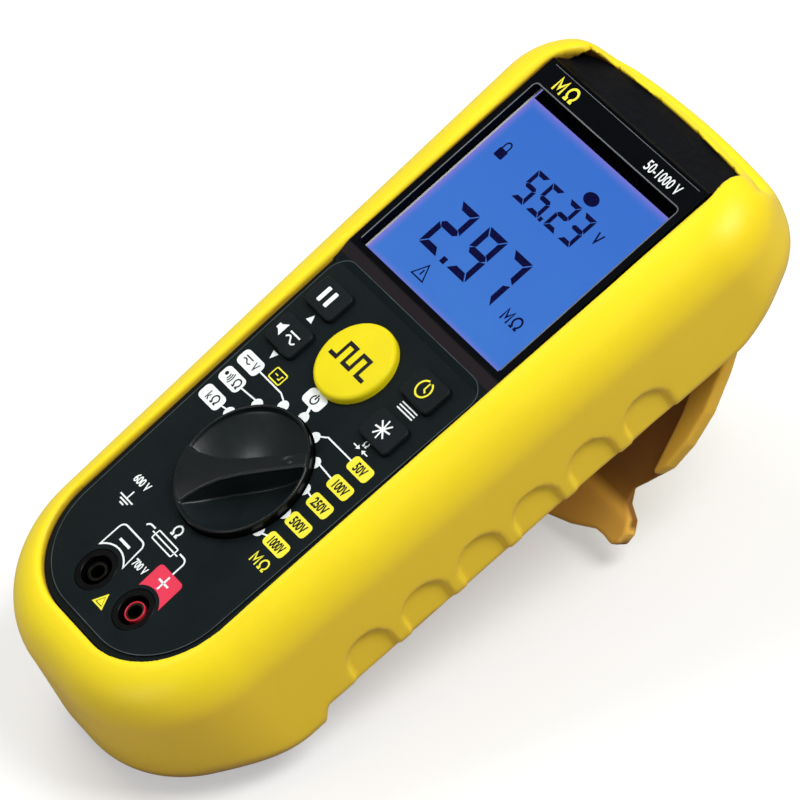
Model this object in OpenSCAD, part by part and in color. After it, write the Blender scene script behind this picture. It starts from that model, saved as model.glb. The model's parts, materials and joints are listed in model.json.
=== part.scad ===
// Insulation resistance tester: a hand-held meter in a rubber holster with a fold-out tilt stand.
// Each part is drawn in the face frame: X to the user's right, Y towards the display end, Z out of the
// face, with zero on the face at the middle of the display window's lower edge. stood_up() then tips the
// whole tester back on its holster heel and its stand: +Z up, origin at the middle of the heel flat.

/* [Holster] */
// Width across the holster at the display end
holster_w = 104.4; // [103.5:0.1:105]
// Width across the holster at the socket end
holster_end_w = 91.2; // [90.8:0.1:93]
// Display end of the holster, from the window's lower edge
holster_top_y = 84.5; // [83.5:0.5:85]
// Socket end of the holster, from the window's lower edge
holster_bottom_y = -135.2; // [-136:0.1:-134.8]
// Height of the holster's front lip above the face
lip_z = 2; // [1.5:0.1:2.5]
// Radius of the rounded front edge
front_edge_r = 14.5; // [14:0.5:16]
// Depth of the holster's back at the hinge, below the face
back_z = -35; // [-35.5:0.1:-34.8]
// Depth of the holster's back at the heel, below the face
heel_z = -42.1; // [-42.5:0.1:-41.5]
// Depth of the side finger scallops
scallop_depth = 1.5; // [0.5:0.1:2]

/* [Tilt stand] */
// Angle between the open leg and the back of the holster
stand_angle = 31.5; // [30:0.5:32]
// Thickness of the leg
leg_t = 4.2; // [4:0.1:4.5]
// Depth of the tray in the leg
tray_depth = 3; // [2:0.1:3]
// Length of the leg from its hinge to its toe
leg_len = 78; // [77:0.1:80]
// Radius of the steel hinge pin
pin_r = 1.6; // [1.2:0.1:1.8]

/* [Case] */
// Width of the case at the display end
case_w = 86; // [85:0.5:86]
// Width of the case at the socket end
case_end_w = 79; // [78.5:0.5:79.5]
// Wall thickness of the two case halves
case_wall = 2.2; // [1.8:0.1:2.4]
// Depth of the back of the case below the face
case_back_z = -29.4; // [-29.6:0.1:-29.2]
// Depth of the joint between the case halves
parting_z = -14; // [-15:0.5:-13.5]

/* [Display] */
// Width of the display window
window_w = 66.4; // [64:0.2:66.4]
// Height of the display window
window_h = 61.4; // [59:0.2:61.4]
// Height of the display frame above the face
bezel_z = 1.4; // [1:0.1:1.8]

/* [Controls] */
// Radius of the test button
test_r = 11.8; // [10:0.1:12]
// Height of the test button above the face
test_h = 3.3; // [2.5:0.1:4]
// Width of a small key
key_w = 13; // [11:0.1:13.2]
// Height of a small key across the face
key_l = 9.4; // [8:0.1:9.6]
// Height of a small key above the face
key_h = 1.9; // [1.5:0.1:2.5]
// How far the keys and the test button travel
key_travel = 0.8; // [0.5:0.1:0.9]
// Radius of the range knob
knob_r = 19.4; // [18:0.1:19.6]
// Height of the knob's rim above the face
knob_rim_z = 2.6; // [1.9:0.1:3]
// Direction the knob points at rest, from +X
knob_angle = 45; // [45:22.5:90]

/* [Sockets] */
// Distance between the two sockets
socket_pitch = 19.05; // [19:0.05:19.1]
// Radius of the hole that takes a shrouded plug
shroud_r = 4.4; // [4.3:0.05:4.5]
// Radius of the contact bore that takes a 4 mm plug pin
contact_r = 2.05; // [2.02:0.01:2.1]
// Length of the contact bore
contact_len = 19; // [17:0.5:20]

/* [Hidden] */
$fn = 64;

// Standing pose: tilt of the face, then the place of the heel flat and the drop to the ground
tilt = 17.9;
heel_y = -110.6;
ground_drop = 79.15;

// Case outline and levels
case_top_y = 79;
case_bottom_y = -127;
case_top_r = 14;
case_bottom_r = 30;
rebate_z = -3.5;
lip_gap = 0.2;
slope_start_y = 70.5;
slope_end_z = -8.5;
rear_slope_y = 71;
rear_slope_z = -20;
boss_r = 4;
screw_r = 1.45;
screw_tip_z = -6.6;
case_screw_xy = [[-36.2, 70], [36.2, 70], [-30.5, -98.5], [30.5, -98.5]];
board_screw_xy = [[-35, -9], [35, -9], [-32.2, -84], [32.2, -84]];

// Levels of the circuit board and of the parts stacked on it
board_top_z = -9.6;
board_t = 1.6;
board_under_z = board_top_z - board_t;
gap = 0.1;

// Controls
knob_y = -63.4;
knob_floor_z = -7.4;
well_r = knob_r + 0.4;
well_floor_t = 1.2;
shaft_r = 3;
shaft_fit = 0.05;
test_x = -1.9;
test_y = -23.6;
key_xy = [[-25.2, -16.6], [-24.8, -30.6], [21.4, -16.3], [22.3, -31]];
key_r = 1.8;
key_fit = 0.15;
flange_z = -case_wall - gap;
flange_t = 0.8;
stem_r = 1.4;
stem_end_z = -7;

// Sockets
socket_y = -107.9;
socket_r = 6.2;
socket_depth = 24;
post_r = 2.95;
tube_r = 2.55;

// Hinge of the stand
hinge_y = 56.4;
hinge_z = -36.6;
barrel_r = 3.4;
barrel_fit = 0.4;
leg_end_x = 40.7;
lug_x = [13, 31];
end_gap = 0.2;

// Batteries
cell_r = 7.1;
cell_len = 49.2;
cell_pitch = 14.5;
cell_count = 6;
cell_y0 = -14.5;
cell_z = board_under_z - 1.6 - cell_r;
tray_x = 29;
tray_y = [-23.4, 67];
tray_wall = 1.2;

// ---------- shared shapes ----------

module stood_up() translate([0, -heel_y, ground_drop]) rotate([tilt, 0, 0]) children();

// Everything below the ground the tester stands on
module ground() translate([-150, -150, -50]) cube([300, 400, 50]);

// A ring of round section, used as a rounded corner of a hull
module corner_ring(plan_r, edge_r)
    rotate_extrude($fn = 32) intersection() {
        translate([plan_r - edge_r, 0]) circle(r = edge_r, $fn = 32);
        translate([0, -edge_r]) square([plan_r, 2 * edge_r]);
    }

// A rectangle from y0 to y1 with one corner radius at each end
module round_ended(w, y0, y1, r0, r1) {
    translate([-w / 2, y0 + r0]) square([w, y1 - y0 - r0 - r1]);
    translate([-w / 2 + r0, y0]) square([w - 2 * r0, r0 + 1]);
    translate([-w / 2 + r1, y1 - r1 - 1]) square([w - 2 * r1, r1 + 1]);
    for (side = [-1, 1]) {
        translate([side * (w / 2 - r0), y0 + r0]) circle(r = r0);
        translate([side * (w / 2 - r1), y1 - r1]) circle(r = r1);
    }
}

// A plate that widens from w0 to w1, with corner arcs of radius r0 and r1 that its sides touch
module tapered_plate(w0, w1, y0, y1, r0, r1) {
    steps = 14;
    low = [w0 / 2 - r0, y0 + r0];
    high = [w1 / 2 - r1, y1 - r1];
    run = high - low;
    lean = atan2(run[0], run[1]) - asin((r0 - r1) / norm(run));
    half = concat(
        [for (i = [0 : steps]) let (a = -90 + (90 - lean) * i / steps) low + r0 * [cos(a), sin(a)]],
        [for (i = [0 : steps]) let (a = -lean + (90 + lean) * i / steps) high + r1 * [cos(a), sin(a)]]);
    last = len(half) - 1;
    polygon(concat(half, [for (i = [last : -1 : 0]) [-half[i][0], half[i][1]]]));
}

module case_outline(inset)
    tapered_plate(case_end_w - 2 * inset, case_w - 2 * inset, case_bottom_y + inset, case_top_y - inset,
                  case_bottom_r - inset, case_top_r - inset);

// The face that shows inside the holster's lip, a little narrower at the socket end
module face_outline(inset)
    tapered_plate(70 - 2 * inset, 76.8 - 2 * inset, inset - 121.4, 77.5 - inset, 26 - inset, 14 - inset);

module along_x(x0, x1, r)
    translate([x0, 0, 0]) rotate([0, 90, 0]) cylinder(h = x1 - x0, r = r);

module disc(z0, z1, r) translate([0, 0, z0]) cylinder(h = z1 - z0, r = r);

module tube(z0, z1, outer_r, inner_r)
    difference() {
        disc(z0, z1, outer_r);
        disc(z0 - 1, z1 + 1, inner_r);
    }

module block(x0, x1, y0, y1, z0, z1) translate([x0, y0, z0]) cube([x1 - x0, y1 - y0, z1 - z0]);

module slab(z0, z1) translate([0, 0, z0]) linear_extrude(height = z1 - z0) children();

// A cross-head screw put in from behind: its head is below head_z and its tip at tip_z
module pan_screw(head_z, head_r, head_t, tip_z, r)
    difference() {
        union() {
            disc(head_z - head_t, head_z, head_r);
            disc(head_z, tip_z, r);
        }
        for (turn = [0, 90])
            translate([0, 0, head_z - head_t]) rotate([0, 0, turn])
                cube([head_r * 1.2, 0.7, head_t], center = true);
    }

// ---------- holster and stand ----------

side_top_y = 61;
side_bottom_y = -98;
heel_edge_y = -95.6;
// The back slopes down from the hinge to a step, where the deeper heel begins
back_top_y = 54;
heel_step_y = -87;
back_fall = 2.6;
back_slope = atan(back_fall / (back_top_y - heel_step_y));
function back_at(y) = back_z - back_fall * (back_top_y - y) / (back_top_y - heel_step_y);
// Half width of the holster's side at a place along its length
function side_x(y) =
    holster_end_w / 2 + (holster_w - holster_end_w) / 2 * (y - side_bottom_y) / (side_top_y - side_bottom_y);
side_taper = atan((holster_w - holster_end_w) / 2 / (side_top_y - side_bottom_y));

module holster_outer() {
    rear_side_r = 3;
    bottom_r = 37.1;
    top_r = 23;
    heel_r = 11;
    rear_top_r = 14;
    hull() for (side = [-1, 1]) {
        translate([side * (holster_end_w / 2 - bottom_r), side_bottom_y, lip_z - front_edge_r])
            corner_ring(bottom_r, front_edge_r);
        translate([side * (holster_w / 2 - top_r), holster_top_y - top_r, lip_z - front_edge_r])
            corner_ring(top_r, front_edge_r);
        translate([side * (holster_end_w / 2 - bottom_r - 3.2), side_bottom_y + 1, heel_z + heel_r])
            corner_ring(bottom_r + 3.2, heel_r);
        translate([side * (holster_w / 2 - top_r), holster_top_y - top_r, back_z + rear_top_r])
            corner_ring(top_r, rear_top_r);
        for (end = [[back_top_y, back_z], [heel_edge_y, heel_z]])
            translate([side * (side_x(end[0]) - rear_side_r), end[0], end[1] + rear_side_r])
                sphere(r = rear_side_r, $fn = 32);
    }
}

// Six D-shaped finger scallops along the lower edge of each side
module side_scallops() {
    pitch = 18.5;
    first_y = 22.3;
    arc_r = 7;
    arc_lift = 5.9;
    for (side = [-1, 1], i = [0 : 5]) {
        y = first_y - i * pitch;
        translate([side * (side_x(y) - scallop_depth), y, back_at(y) + arc_lift])
            rotate([0, 0, -side * side_taper]) {
                rotate([0, side * 90, 0]) cylinder(h = 5, r = arc_r);
                translate([side > 0 ? 0 : -5, -arc_r, -12]) cube([5, 2 * arc_r, 12]);
            }
    }
}

module holster_shape() {
    ear_x = 33.5;
    difference() {
        union() {
            difference() {
                holster_outer();
                slab(case_back_z - lip_gap, rebate_z + lip_gap) case_outline(-lip_gap);
                slab(-5, 20) face_outline(0);
                // open top between the two ears
                block(-ear_x, ear_x, 40, 110, -7, 20);
                block(-ear_x, ear_x, holster_top_y - 3, 110, -16, 20);
                // back surface, which stops at the deeper heel
                translate([-70, 0, 0]) rotate([90, 0, 90]) linear_extrude(height = 140)
                    polygon([[back_top_y, back_z], [heel_step_y, back_at(heel_step_y)],
                             [heel_step_y - 3, heel_z - 1], [heel_step_y - 3, -70], [back_top_y, -70]]);
                // shallow panel in the back
                translate([0, back_top_y, back_z + 1]) rotate([back_slope, 0, 0]) slab(-20, 0)
                    round_ended(62, -130, -14, 8, 8);
                side_scallops();
                // room for the leg's hinge barrels
                translate([0, hinge_y, hinge_z]) {
                    for (side = [-1, 1])
                        translate([side * (lug_x[1] + leg_end_x + 1) / 2, 0, 0])
                            along_x(-(leg_end_x + 1 - lug_x[1]) / 2, (leg_end_x + 1 - lug_x[1]) / 2,
                                    barrel_r + barrel_fit);
                    along_x(-lug_x[0], lug_x[0], barrel_r + barrel_fit);
                }
            }
            // hinge lugs
            translate([0, hinge_y, hinge_z]) for (side = [-1, 1])
                translate([side * (lug_x[0] + lug_x[1]) / 2, 0, 0]) {
                    half = (lug_x[1] - lug_x[0]) / 2;
                    along_x(-half, half, barrel_r);
                    block(-half, half, -barrel_r, barrel_r, 0, 4);
                }
        }
        translate([0, hinge_y, hinge_z]) along_x(-60, 60, pin_r + 0.05);
    }
}

module holster()
    color("gold") difference() {
        stood_up() holster_shape();
        ground();
    }

// Half of the leg's outline, widest a third of the way down, with a waist above the toe
leg_half = [
    [0, 0], [leg_end_x, 0], [43.8, -13], [45.2, -24.7], [44.2, -35], [41.6, -43.5], [35.6, -51.5],
    [32.4, -55.5], [33.8, -59.2], [38.6, -61.8], [40, -65.3], [38.8, -68.3], [35, -69.8],
    [20, 3.3 - leg_len], [7, -leg_len], [0, -leg_len]
];
tray_half = [
    [0, -7], [36, -7], [38.6, -22], [38.4, -37], [35.5, -46], [29.5, -53], [28.5, -59], [25, -64.5],
    [12, -66.8], [0, -67]
];

module both_halves(points) for (side = [0, 1]) mirror([side, 0]) polygon(points);

module stand_shape()
    translate([0, hinge_y, hinge_z]) rotate([stand_angle, 0, 0]) difference() {
        union() {
            difference() {
                slab(-leg_t, 0) offset(r = 2) offset(r = -4) offset(r = 2) both_halves(leg_half);
                slab(-tray_depth, 1) offset(r = 3) offset(r = -3) both_halves(tray_half);
                // room for the holster's lugs
                for (side = [-1, 1])
                    translate([side * (lug_x[0] + lug_x[1]) / 2, 0, 0])
                        block(-(lug_x[1] - lug_x[0]) / 2 - end_gap, (lug_x[1] - lug_x[0]) / 2 + end_gap,
                              -barrel_r - 0.8, 10, -leg_t - 1, 10);
            }
            for (span = [[-leg_end_x, -lug_x[1] - end_gap], [end_gap - lug_x[0], lug_x[0] - end_gap],
                         [lug_x[1] + end_gap, leg_end_x]]) {
                along_x(span[0], span[1], barrel_r);
                block(span[0], span[1], -barrel_r, 0, -leg_t, 0);
            }
        }
        along_x(-60, 60, pin_r + 0.05);
    }

module tilt_stand()
    color("goldenrod") difference() {
        stood_up() stand_shape();
        ground();
    }

module stand_pin()
    color("silver") stood_up() translate([0, hinge_y, hinge_z]) along_x(0.5 - leg_end_x, leg_end_x - 0.5, pin_r);

// ---------- case ----------

// The solid case, shrunk by inset, with its display end sloping down
module case_block(z0, z1, inset)
    difference() {
        union() {
            slab(z0, min(z1, rebate_z - inset)) case_outline(inset);
            if (z1 > rebate_z - inset) slab(z0, z1) face_outline(0.4 + inset);
        }
        translate([-60, 0, 0]) rotate([90, 0, 90]) linear_extrude(height = 120) {
            polygon([[slope_start_y - inset * 0.3, -inset], [case_top_y, slope_end_z - inset],
                     [case_top_y + 30, slope_end_z - inset - 30], [case_top_y + 30, 30],
                     [slope_start_y - inset * 0.3, 30]]);
            polygon([[case_top_y + 1, rear_slope_z - 1 + inset], [rear_slope_y - inset * 0.4, case_back_z - 1],
                     [rear_slope_y - inset * 0.4, case_back_z - 9], [case_top_y + 30, case_back_z - 9],
                     [case_top_y + 30, rear_slope_z - 1 + inset]]);
        }
    }

module key_outline(grow)
    offset(delta = grow) round_ended(key_w, -key_l / 2, key_l / 2, key_r, key_r);

module front_case() {
    window_rim = 1.75;
    color([0.13, 0.17, 0.18]) stood_up() difference() {
        union() {
            difference() {
                case_block(parting_z + 0.4, 0, 0);
                case_block(parting_z - 1, -case_wall, case_wall);
            }
            // bosses for the case screws and posts for the circuit board, up into the front wall
            intersection() {
                case_block(parting_z + 0.4, 0, 1);
                union() {
                    for (p = case_screw_xy) translate(p) disc(parting_z + 0.4, 0, boss_r);
                    for (p = board_screw_xy) translate(p) disc(board_top_z + gap, 0, 2.5);
                }
            }
            // well that the knob turns in
            translate([0, knob_y]) disc(knob_floor_z - 0.2 - well_floor_t, -case_wall / 2, well_r + 1.4);
        }
        translate([0, knob_y]) {
            disc(knob_floor_z - 0.2, 5, well_r);
            disc(-20, 5, shaft_r + shaft_fit);
        }
        block(-window_w / 2 - window_rim, window_w / 2 + window_rim, -window_rim, window_h + window_rim, -5, 5);
        translate([test_x, test_y]) disc(-5, 5, test_r + key_fit);
        for (p = key_xy) translate(p) slab(-5, 5) key_outline(key_fit);
        for (side = [-1, 1]) translate([side * socket_pitch / 2, socket_y]) disc(-5, 5, socket_r + gap);
        for (p = case_screw_xy) translate(p) disc(-20, screw_tip_z + 0.4, screw_r + 0.05);
        for (p = board_screw_xy) translate(p) disc(-20, screw_tip_z + 0.4, 1.05);
        // the keypad face stands a little proud of the border round it
        slab(-0.6, 1) difference() {
            face_outline(-1);
            face_outline(2.5);
            translate([-60, -8]) square([120, 100]);
        }
    }
}

module rear_case() {
    cover_gap = 0.3;
    color([0.12, 0.13, 0.14]) stood_up() difference() {
        union() {
            difference() {
                case_block(case_back_z, parting_z - 0.4, 0);
                case_block(case_back_z + 2, parting_z + 5, case_wall);
            }
            for (p = case_screw_xy) translate(p) disc(case_back_z + 1, parting_z - 0.4, boss_r);
            for (x = [-20, 20]) translate([x, -29]) disc(case_back_z + 1, case_back_z + 9, 3.4);
        }
        block(-tray_x - cover_gap, tray_x + cover_gap, -32 - cover_gap, tray_y[1] + cover_gap,
              case_back_z - 1, case_back_z + 2);
        block(-tray_x - cover_gap, tray_x + cover_gap, tray_y[0] - cover_gap, tray_y[1] + cover_gap,
              case_back_z - 1, case_back_z + 4);
        for (p = case_screw_xy) translate(p) {
            disc(-40, parting_z + 1, screw_r + 0.25);
            disc(-40, case_back_z + 3, 3.1);
        }
        for (x = [-20, 20]) translate([x, -29]) disc(-40, case_back_z + 8, 1.05);
    }
}

module case_gasket()
    color([0.05, 0.05, 0.05]) stood_up() slab(parting_z - 0.35, parting_z + 0.35) difference() {
        case_outline(0.6);
        case_outline(1.6);
    }

module case_screws()
    color("silver") stood_up() for (p = case_screw_xy)
        translate(p) pan_screw(case_back_z + 3, 2.8, 1.8, screw_tip_z, screw_r);

// ---------- display ----------

module display_bezel() {
    frame_x = 36;
    color([0.06, 0.07, 0.08]) stood_up() difference() {
        intersection() {
            translate([-frame_x, 0, 0]) rotate([90, 0, 90]) linear_extrude(height = 2 * frame_x)
                polygon([[-7.5, 0.02], [-2, bezel_z], [slope_start_y - 1, bezel_z], [slope_start_y, 0.02]]);
            slab(0, 5) face_outline(1);
        }
        block(-window_w / 2, window_w / 2, 0, window_h, -1, 5);
        // fine line at the end of the plain name strip
        block(-33.4, 33.4, slope_start_y - 1.8, slope_start_y - 1.4, bezel_z - 0.25, bezel_z + 1);
    }
}

module display_lens()
    color([0.6, 0.75, 0.95, 0.35]) stood_up()
        block(-window_w / 2 - 1.6, window_w / 2 + 1.6, -1.6, window_h + 1.6, -1.9, -gap);

module lcd_frame()
    color([0.85, 0.85, 0.82]) stood_up() difference() {
        block(-34.2, 34.2, -3, 62.8, board_top_z + gap, -case_wall - gap);
        block(-33.7, 33.7, -2.2, 62, -4.5, 0);
        block(-33.2, 33.2, -2.2, 62, -20, 0);
    }

module lcd_panel()
    color([0.26, 0.47, 0.86]) stood_up() block(-33.6, 33.6, -2.1, 61.9, -4.4, -2.4);

module lcd_backlight()
    color("white") stood_up() block(-33, 33, 0.2, 59.4, -7, -4.6);

module lcd_connectors()
    color([0.8, 0.4, 0.5]) stood_up() for (y = [-1.9, 59.8])
        block(-29, 29, y, y + 1.5, board_top_z + gap, -4.6);

// ---------- controls ----------

// A key drawn about its own middle: domed cap, flange under the face and a stem to its switch
module key_body()
    union() {
        hull() {
            slab(flange_z, key_h - 0.7) key_outline(0);
            slab(key_h - 0.2, key_h) key_outline(-1);
        }
        slab(flange_z - flange_t, flange_z) key_outline(0.8);
        disc(stem_end_z, flange_z, stem_r);
    }

module hold_key() color([0.09, 0.11, 0.12]) stood_up() translate(key_xy[0]) key_body();
module range_key() color([0.09, 0.11, 0.12]) stood_up() translate(key_xy[1]) key_body();
module timer_key() color([0.09, 0.11, 0.12]) stood_up() translate(key_xy[2]) key_body();
module backlight_key() color([0.09, 0.11, 0.12]) stood_up() translate(key_xy[3]) key_body();

module test_button() {
    edge_r = 0.9;
    color("yellow") stood_up() translate([test_x, test_y]) {
        rotate_extrude() {
            translate([0, flange_z]) square([test_r, test_h - edge_r - flange_z]);
            square([test_r - edge_r, test_h]);
            translate([test_r - edge_r, test_h - edge_r]) circle(r = edge_r);
        }
        disc(flange_z - flange_t, flange_z, test_r + 1);
        disc(stem_end_z, flange_z, 3);
    }
}

module keypad_mat()
    color([0.35, 0.36, 0.38]) stood_up() slab(-5.4, -4.4) difference() {
        round_ended(64, -37, -6, 3, 3);
        for (p = key_xy) translate(p) circle(r = stem_r + 0.4);
        translate([test_x, test_y]) circle(r = 3.4);
        translate([0, knob_y]) circle(r = well_r + 1.8);
    }

module tact_switches()
    color("silver") stood_up() for (p = concat(key_xy, [[test_x, test_y]]))
        translate(p) {
            block(-3, 3, -3, 3, board_top_z + 0.02, board_top_z + 1);
            disc(board_top_z + 1, stem_end_z - key_travel - 0.05, 1.6);
        }

// The knob, pointing along +X: a round skirt dished deeper towards the pointer, with a handle bar
// across the dish that widens towards its tail
handle_half = [
    [knob_r, 2.3], [8, 2.4], [1, 2.6], [-5, 3.2], [-10, 4.7], [-14.5, 7.2], [-knob_r, 11], [-knob_r, 0],
    [knob_r, 0]
];

module knob_body() {
    rim_w = 0.8;
    edge_r = 0.6;
    dish_r = 31.4;
    dish_z = 26;
    dish_x = 2;
    shaft_step_z = -12.9;
    module skirt(top_z, r)
        rotate_extrude() {
            translate([0, knob_floor_z]) square([r, top_z - edge_r - knob_floor_z]);
            square([r - edge_r, top_z]);
            translate([r - edge_r, top_z - edge_r]) circle(r = edge_r);
        }
    difference() {
        union() {
            difference() {
                skirt(knob_rim_z, knob_r);
                intersection() {
                    translate([dish_x, 0, dish_z]) sphere(r = dish_r);
                    disc(-10, 10, knob_r - rim_w);
                }
            }
            intersection() {
                skirt(knob_rim_z + 0.5, knob_r - 0.5);
                slab(knob_floor_z, 10) for (side = [0, 1]) mirror([0, side]) polygon(handle_half);
            }
            disc(shaft_step_z, knob_floor_z, shaft_r);
            disc(-15.8, shaft_step_z, 2.2);
        }
        translate([14, 0, knob_rim_z + 1.1]) sphere(r = 1.2);
        disc(-20, -10.5, 0.85);
    }
}

module range_knob()
    color([0.12, 0.14, 0.15]) stood_up() translate([0, knob_y]) rotate([0, 0, knob_angle]) knob_body();

module switch_rotor() {
    lobes = 16;
    color("ivory") stood_up() translate([0, knob_y]) rotate([0, 0, knob_angle]) difference() {
        disc(-15.6, -13.2, 13);
        disc(-20, 0, 2.25);
        for (i = [0 : lobes - 1]) rotate([0, 0, (i + 0.5) * 360 / lobes])
            translate([13.9, 0]) disc(-20, 0, 1.6);
    }
}

module rotor_wipers()
    color("goldenrod") stood_up() translate([0, knob_y]) rotate([0, 0, knob_angle])
        for (turn = [0 : 120 : 240]) rotate([0, 0, turn]) {
            block(5, 11.4, -1, 1, -13.18, -12.9);
            block(10.4, 11.4, -1, 1, -12.9, board_under_z - 0.1);
        }

module knob_screw()
    color("silver") stood_up() translate([0, knob_y]) pan_screw(-15.85, 2.8, 1.4, -11, 0.8);

module detent_spring()
    color("silver") stood_up() translate([0, knob_y]) {
        block(-13, 13, 13.4, 13.8, -15.2, -13.6);
        for (x = [-13, 9]) block(x, x + 4, 13.4, 15.8, -13.6, board_under_z - 0.02);
    }

// ---------- sockets ----------

module socket_at(side) stood_up() translate([side * socket_pitch / 2, socket_y]) children();

// Shrouded shell: a cup with a flange under the face and a floor that the contact passes through
module socket_shell()
    difference() {
        union() {
            disc(-socket_depth, 0, socket_r);
            disc(-case_wall - 1.8, -case_wall - gap, socket_r + 1.2);
        }
        disc(1.5 - socket_depth, 5, shroud_r);
        disc(-50, 5, tube_r + 0.05);
    }

module socket_post() tube(1.6 - socket_depth, -0.7, post_r, tube_r + 0.02);

// Contact tube with a tail that runs under the board to its edge
module socket_contact() {
    mouth_z = -1;
    difference() {
        disc(-socket_depth - 1.6, mouth_z, tube_r);
        disc(mouth_z - contact_len, 5, contact_r);
    }
    block(-1.5, 1.5, 0, 15, -socket_depth - 1.6, -socket_depth - 0.8);
    block(-1.5, 1.5, 14.2, 15, -socket_depth - 1.6, board_under_z - 0.05);
}

module com_socket() color([0.05, 0.05, 0.06]) socket_at(-1) socket_shell();
module plus_socket() color([0.05, 0.05, 0.06]) socket_at(1) socket_shell();
module com_socket_post() color([0.15, 0.15, 0.16]) socket_at(-1) socket_post();
module plus_socket_post() color("crimson") socket_at(1) socket_post();
module com_contact() color("goldenrod") socket_at(-1) socket_contact();
module plus_contact() color("goldenrod") socket_at(1) socket_contact();

// ---------- electronics ----------

module circuit_board()
    color("darkgreen") stood_up() slab(board_under_z, board_top_z) difference() {
        tapered_plate(70, 76, -93.6, 65.5, 2, 2);
        translate([0, knob_y]) circle(r = shaft_r + 1);
        for (p = board_screw_xy) translate(p) circle(r = 1.3);
    }

module board_screws()
    color("silver") stood_up() for (p = board_screw_xy)
        translate(p) pan_screw(board_under_z - 0.02, 2, 1.2, screw_tip_z, 1);

module processor_chip()
    color([0.08, 0.08, 0.08]) stood_up() {
        block(-32, -18, -66, -52, board_under_z - 2, board_under_z - 0.3);
        for (side = [0, 1], i = [0 : 9])
            block(-33.2 + side * 15.2, -32 + side * 15.2, -65.2 + i * 1.35, -64.7 + i * 1.35,
                  board_under_z - 1.2, board_under_z - 0.02);
    }

module hv_transformer()
    color([0.25, 0.23, 0.22]) stood_up() difference() {
        block(-33, -13, -47, -34.5, board_under_z - 14, board_under_z - 0.1);
        for (side = [-1, 1]) translate([-23 + side * 5.6, 0])
            block(-2.5, 2.5, -60, -20, board_under_z - 11, board_under_z - 3);
    }

module transformer_coil()
    color("peru") stood_up() difference() {
        block(-30.9, -15.1, -48.6, -33, board_under_z - 10.8, board_under_z - 3.2);
        block(-33, -28.7 - 2.5, -60, -20, -40, 0);
        block(-26.2, -19.8, -47.2, -34.3, -40, 0);
        block(-31, -15, -47.2, -34.3, board_under_z - 20, board_under_z - 11);
    }

module hv_capacitors()
    color([0.15, 0.2, 0.5]) stood_up() for (x = [-3, 9, 21])
        translate([x, -40]) {
            disc(board_under_z - 14, board_under_z - 0.5, 5);
            for (side = [-1, 1]) translate([side * 2, 0]) disc(board_under_z - 0.5, board_under_z - 0.02, 0.4);
        }

module fuse()
    color("ivory") stood_up() translate([0, -84, board_under_z - 5]) difference() {
        union() {
            along_x(-16, 16, 3);
            along_x(-16, -10, 3.15);
            along_x(10, 16, 3.15);
        }
        translate([-16.5, 0, 0]) sphere(r = 1);
    }

module fuse_clips()
    color("goldenrod") stood_up() for (x = [-15, 11])
        translate([x, -84, 0]) difference() {
            block(0, 4, -3.8, 3.8, board_under_z - 7, board_under_z - 0.02);
            translate([0, 0, board_under_z - 5]) along_x(-1, 5, 3.25);
            block(-1, 5, -2.6, 2.6, board_under_z - 8, board_under_z - 5);
            block(-1, 5, -3.2, 3.2, board_under_z - 4, board_under_z - 0.6);
        }

module buzzer()
    color([0.1, 0.1, 0.1]) stood_up() translate([27, -62]) difference() {
        disc(board_under_z - 5, board_under_z - 0.02, 8);
        disc(board_under_z - 6, board_under_z - 4, 1);
    }

module range_relay()
    color("whitesmoke") stood_up() {
        block(21, 36, -81, -73, board_under_z - 9, board_under_z - 0.4);
        for (x = [23, 28, 34]) block(x, x + 0.6, -77.3, -76.7, board_under_z - 0.4, board_under_z - 0.02);
    }

// ---------- batteries ----------

module each_cell() for (i = [0 : cell_count - 1])
    translate([0, cell_y0 + i * cell_pitch, cell_z]) rotate([0, 0, i % 2 * 180]) children();

module battery_tray()
    color([0.2, 0.2, 0.22]) stood_up() difference() {
        block(-tray_x, tray_x, tray_y[0], tray_y[1], case_back_z + 2.1, board_under_z - 0.3);
        block(tray_wall - tray_x, tray_x - tray_wall, tray_y[0] + tray_wall, tray_y[1] - tray_wall,
              -40, board_under_z - 1.3);
    }

module battery_cells()
    color("darkorange") stood_up() each_cell() {
        along_x(-cell_len / 2, cell_len / 2 - 1, cell_r);
        along_x(cell_len / 2 - 1, cell_len / 2, 2.6);
    }

module battery_springs()
    color("silver") stood_up() each_cell() translate([-tray_x + tray_wall + 0.05, 0, 0]) {
        block(0, 0.4, -4, 4, -5, 5);
        translate([0.4, 0, 0]) rotate([90, 0, 0]) linear_extrude(height = 4, center = true)
            polygon([[-0.1, -4.6], [2.7, -0.4], [2.7, 0.4], [-0.1, 4.6], [-0.1, 4], [2.1, 0.3], [2.1, -0.3],
                     [-0.1, -4]]);
    }

module battery_studs()
    color("silver") stood_up() each_cell() translate([tray_x - tray_wall - 0.45, 0, 0]) {
        block(0, 0.4, -4, 4, -5, 5);
        along_x(cell_len / 2 - tray_x + tray_wall + 0.5, 0, 2);
    }

module battery_cover()
    color([0.12, 0.13, 0.14]) stood_up() difference() {
        block(-tray_x, tray_x, -32, tray_y[1], case_back_z, case_back_z + 1.9);
        for (x = [-20, 20]) translate([x, -29]) {
            disc(-40, 0, 1.3);
            disc(-40, case_back_z + 1, 2.3);
        }
        for (i = [0 : 5]) block(-12, 12, 50 + 2 * i, 51 + 2 * i, -40, case_back_z + 0.5);
    }

module cover_screws()
    color("silver") stood_up() for (x = [-20, 20])
        translate([x, -29]) pan_screw(case_back_z + 1, 2.1, 0.9, case_back_z + 7, 1);

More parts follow.
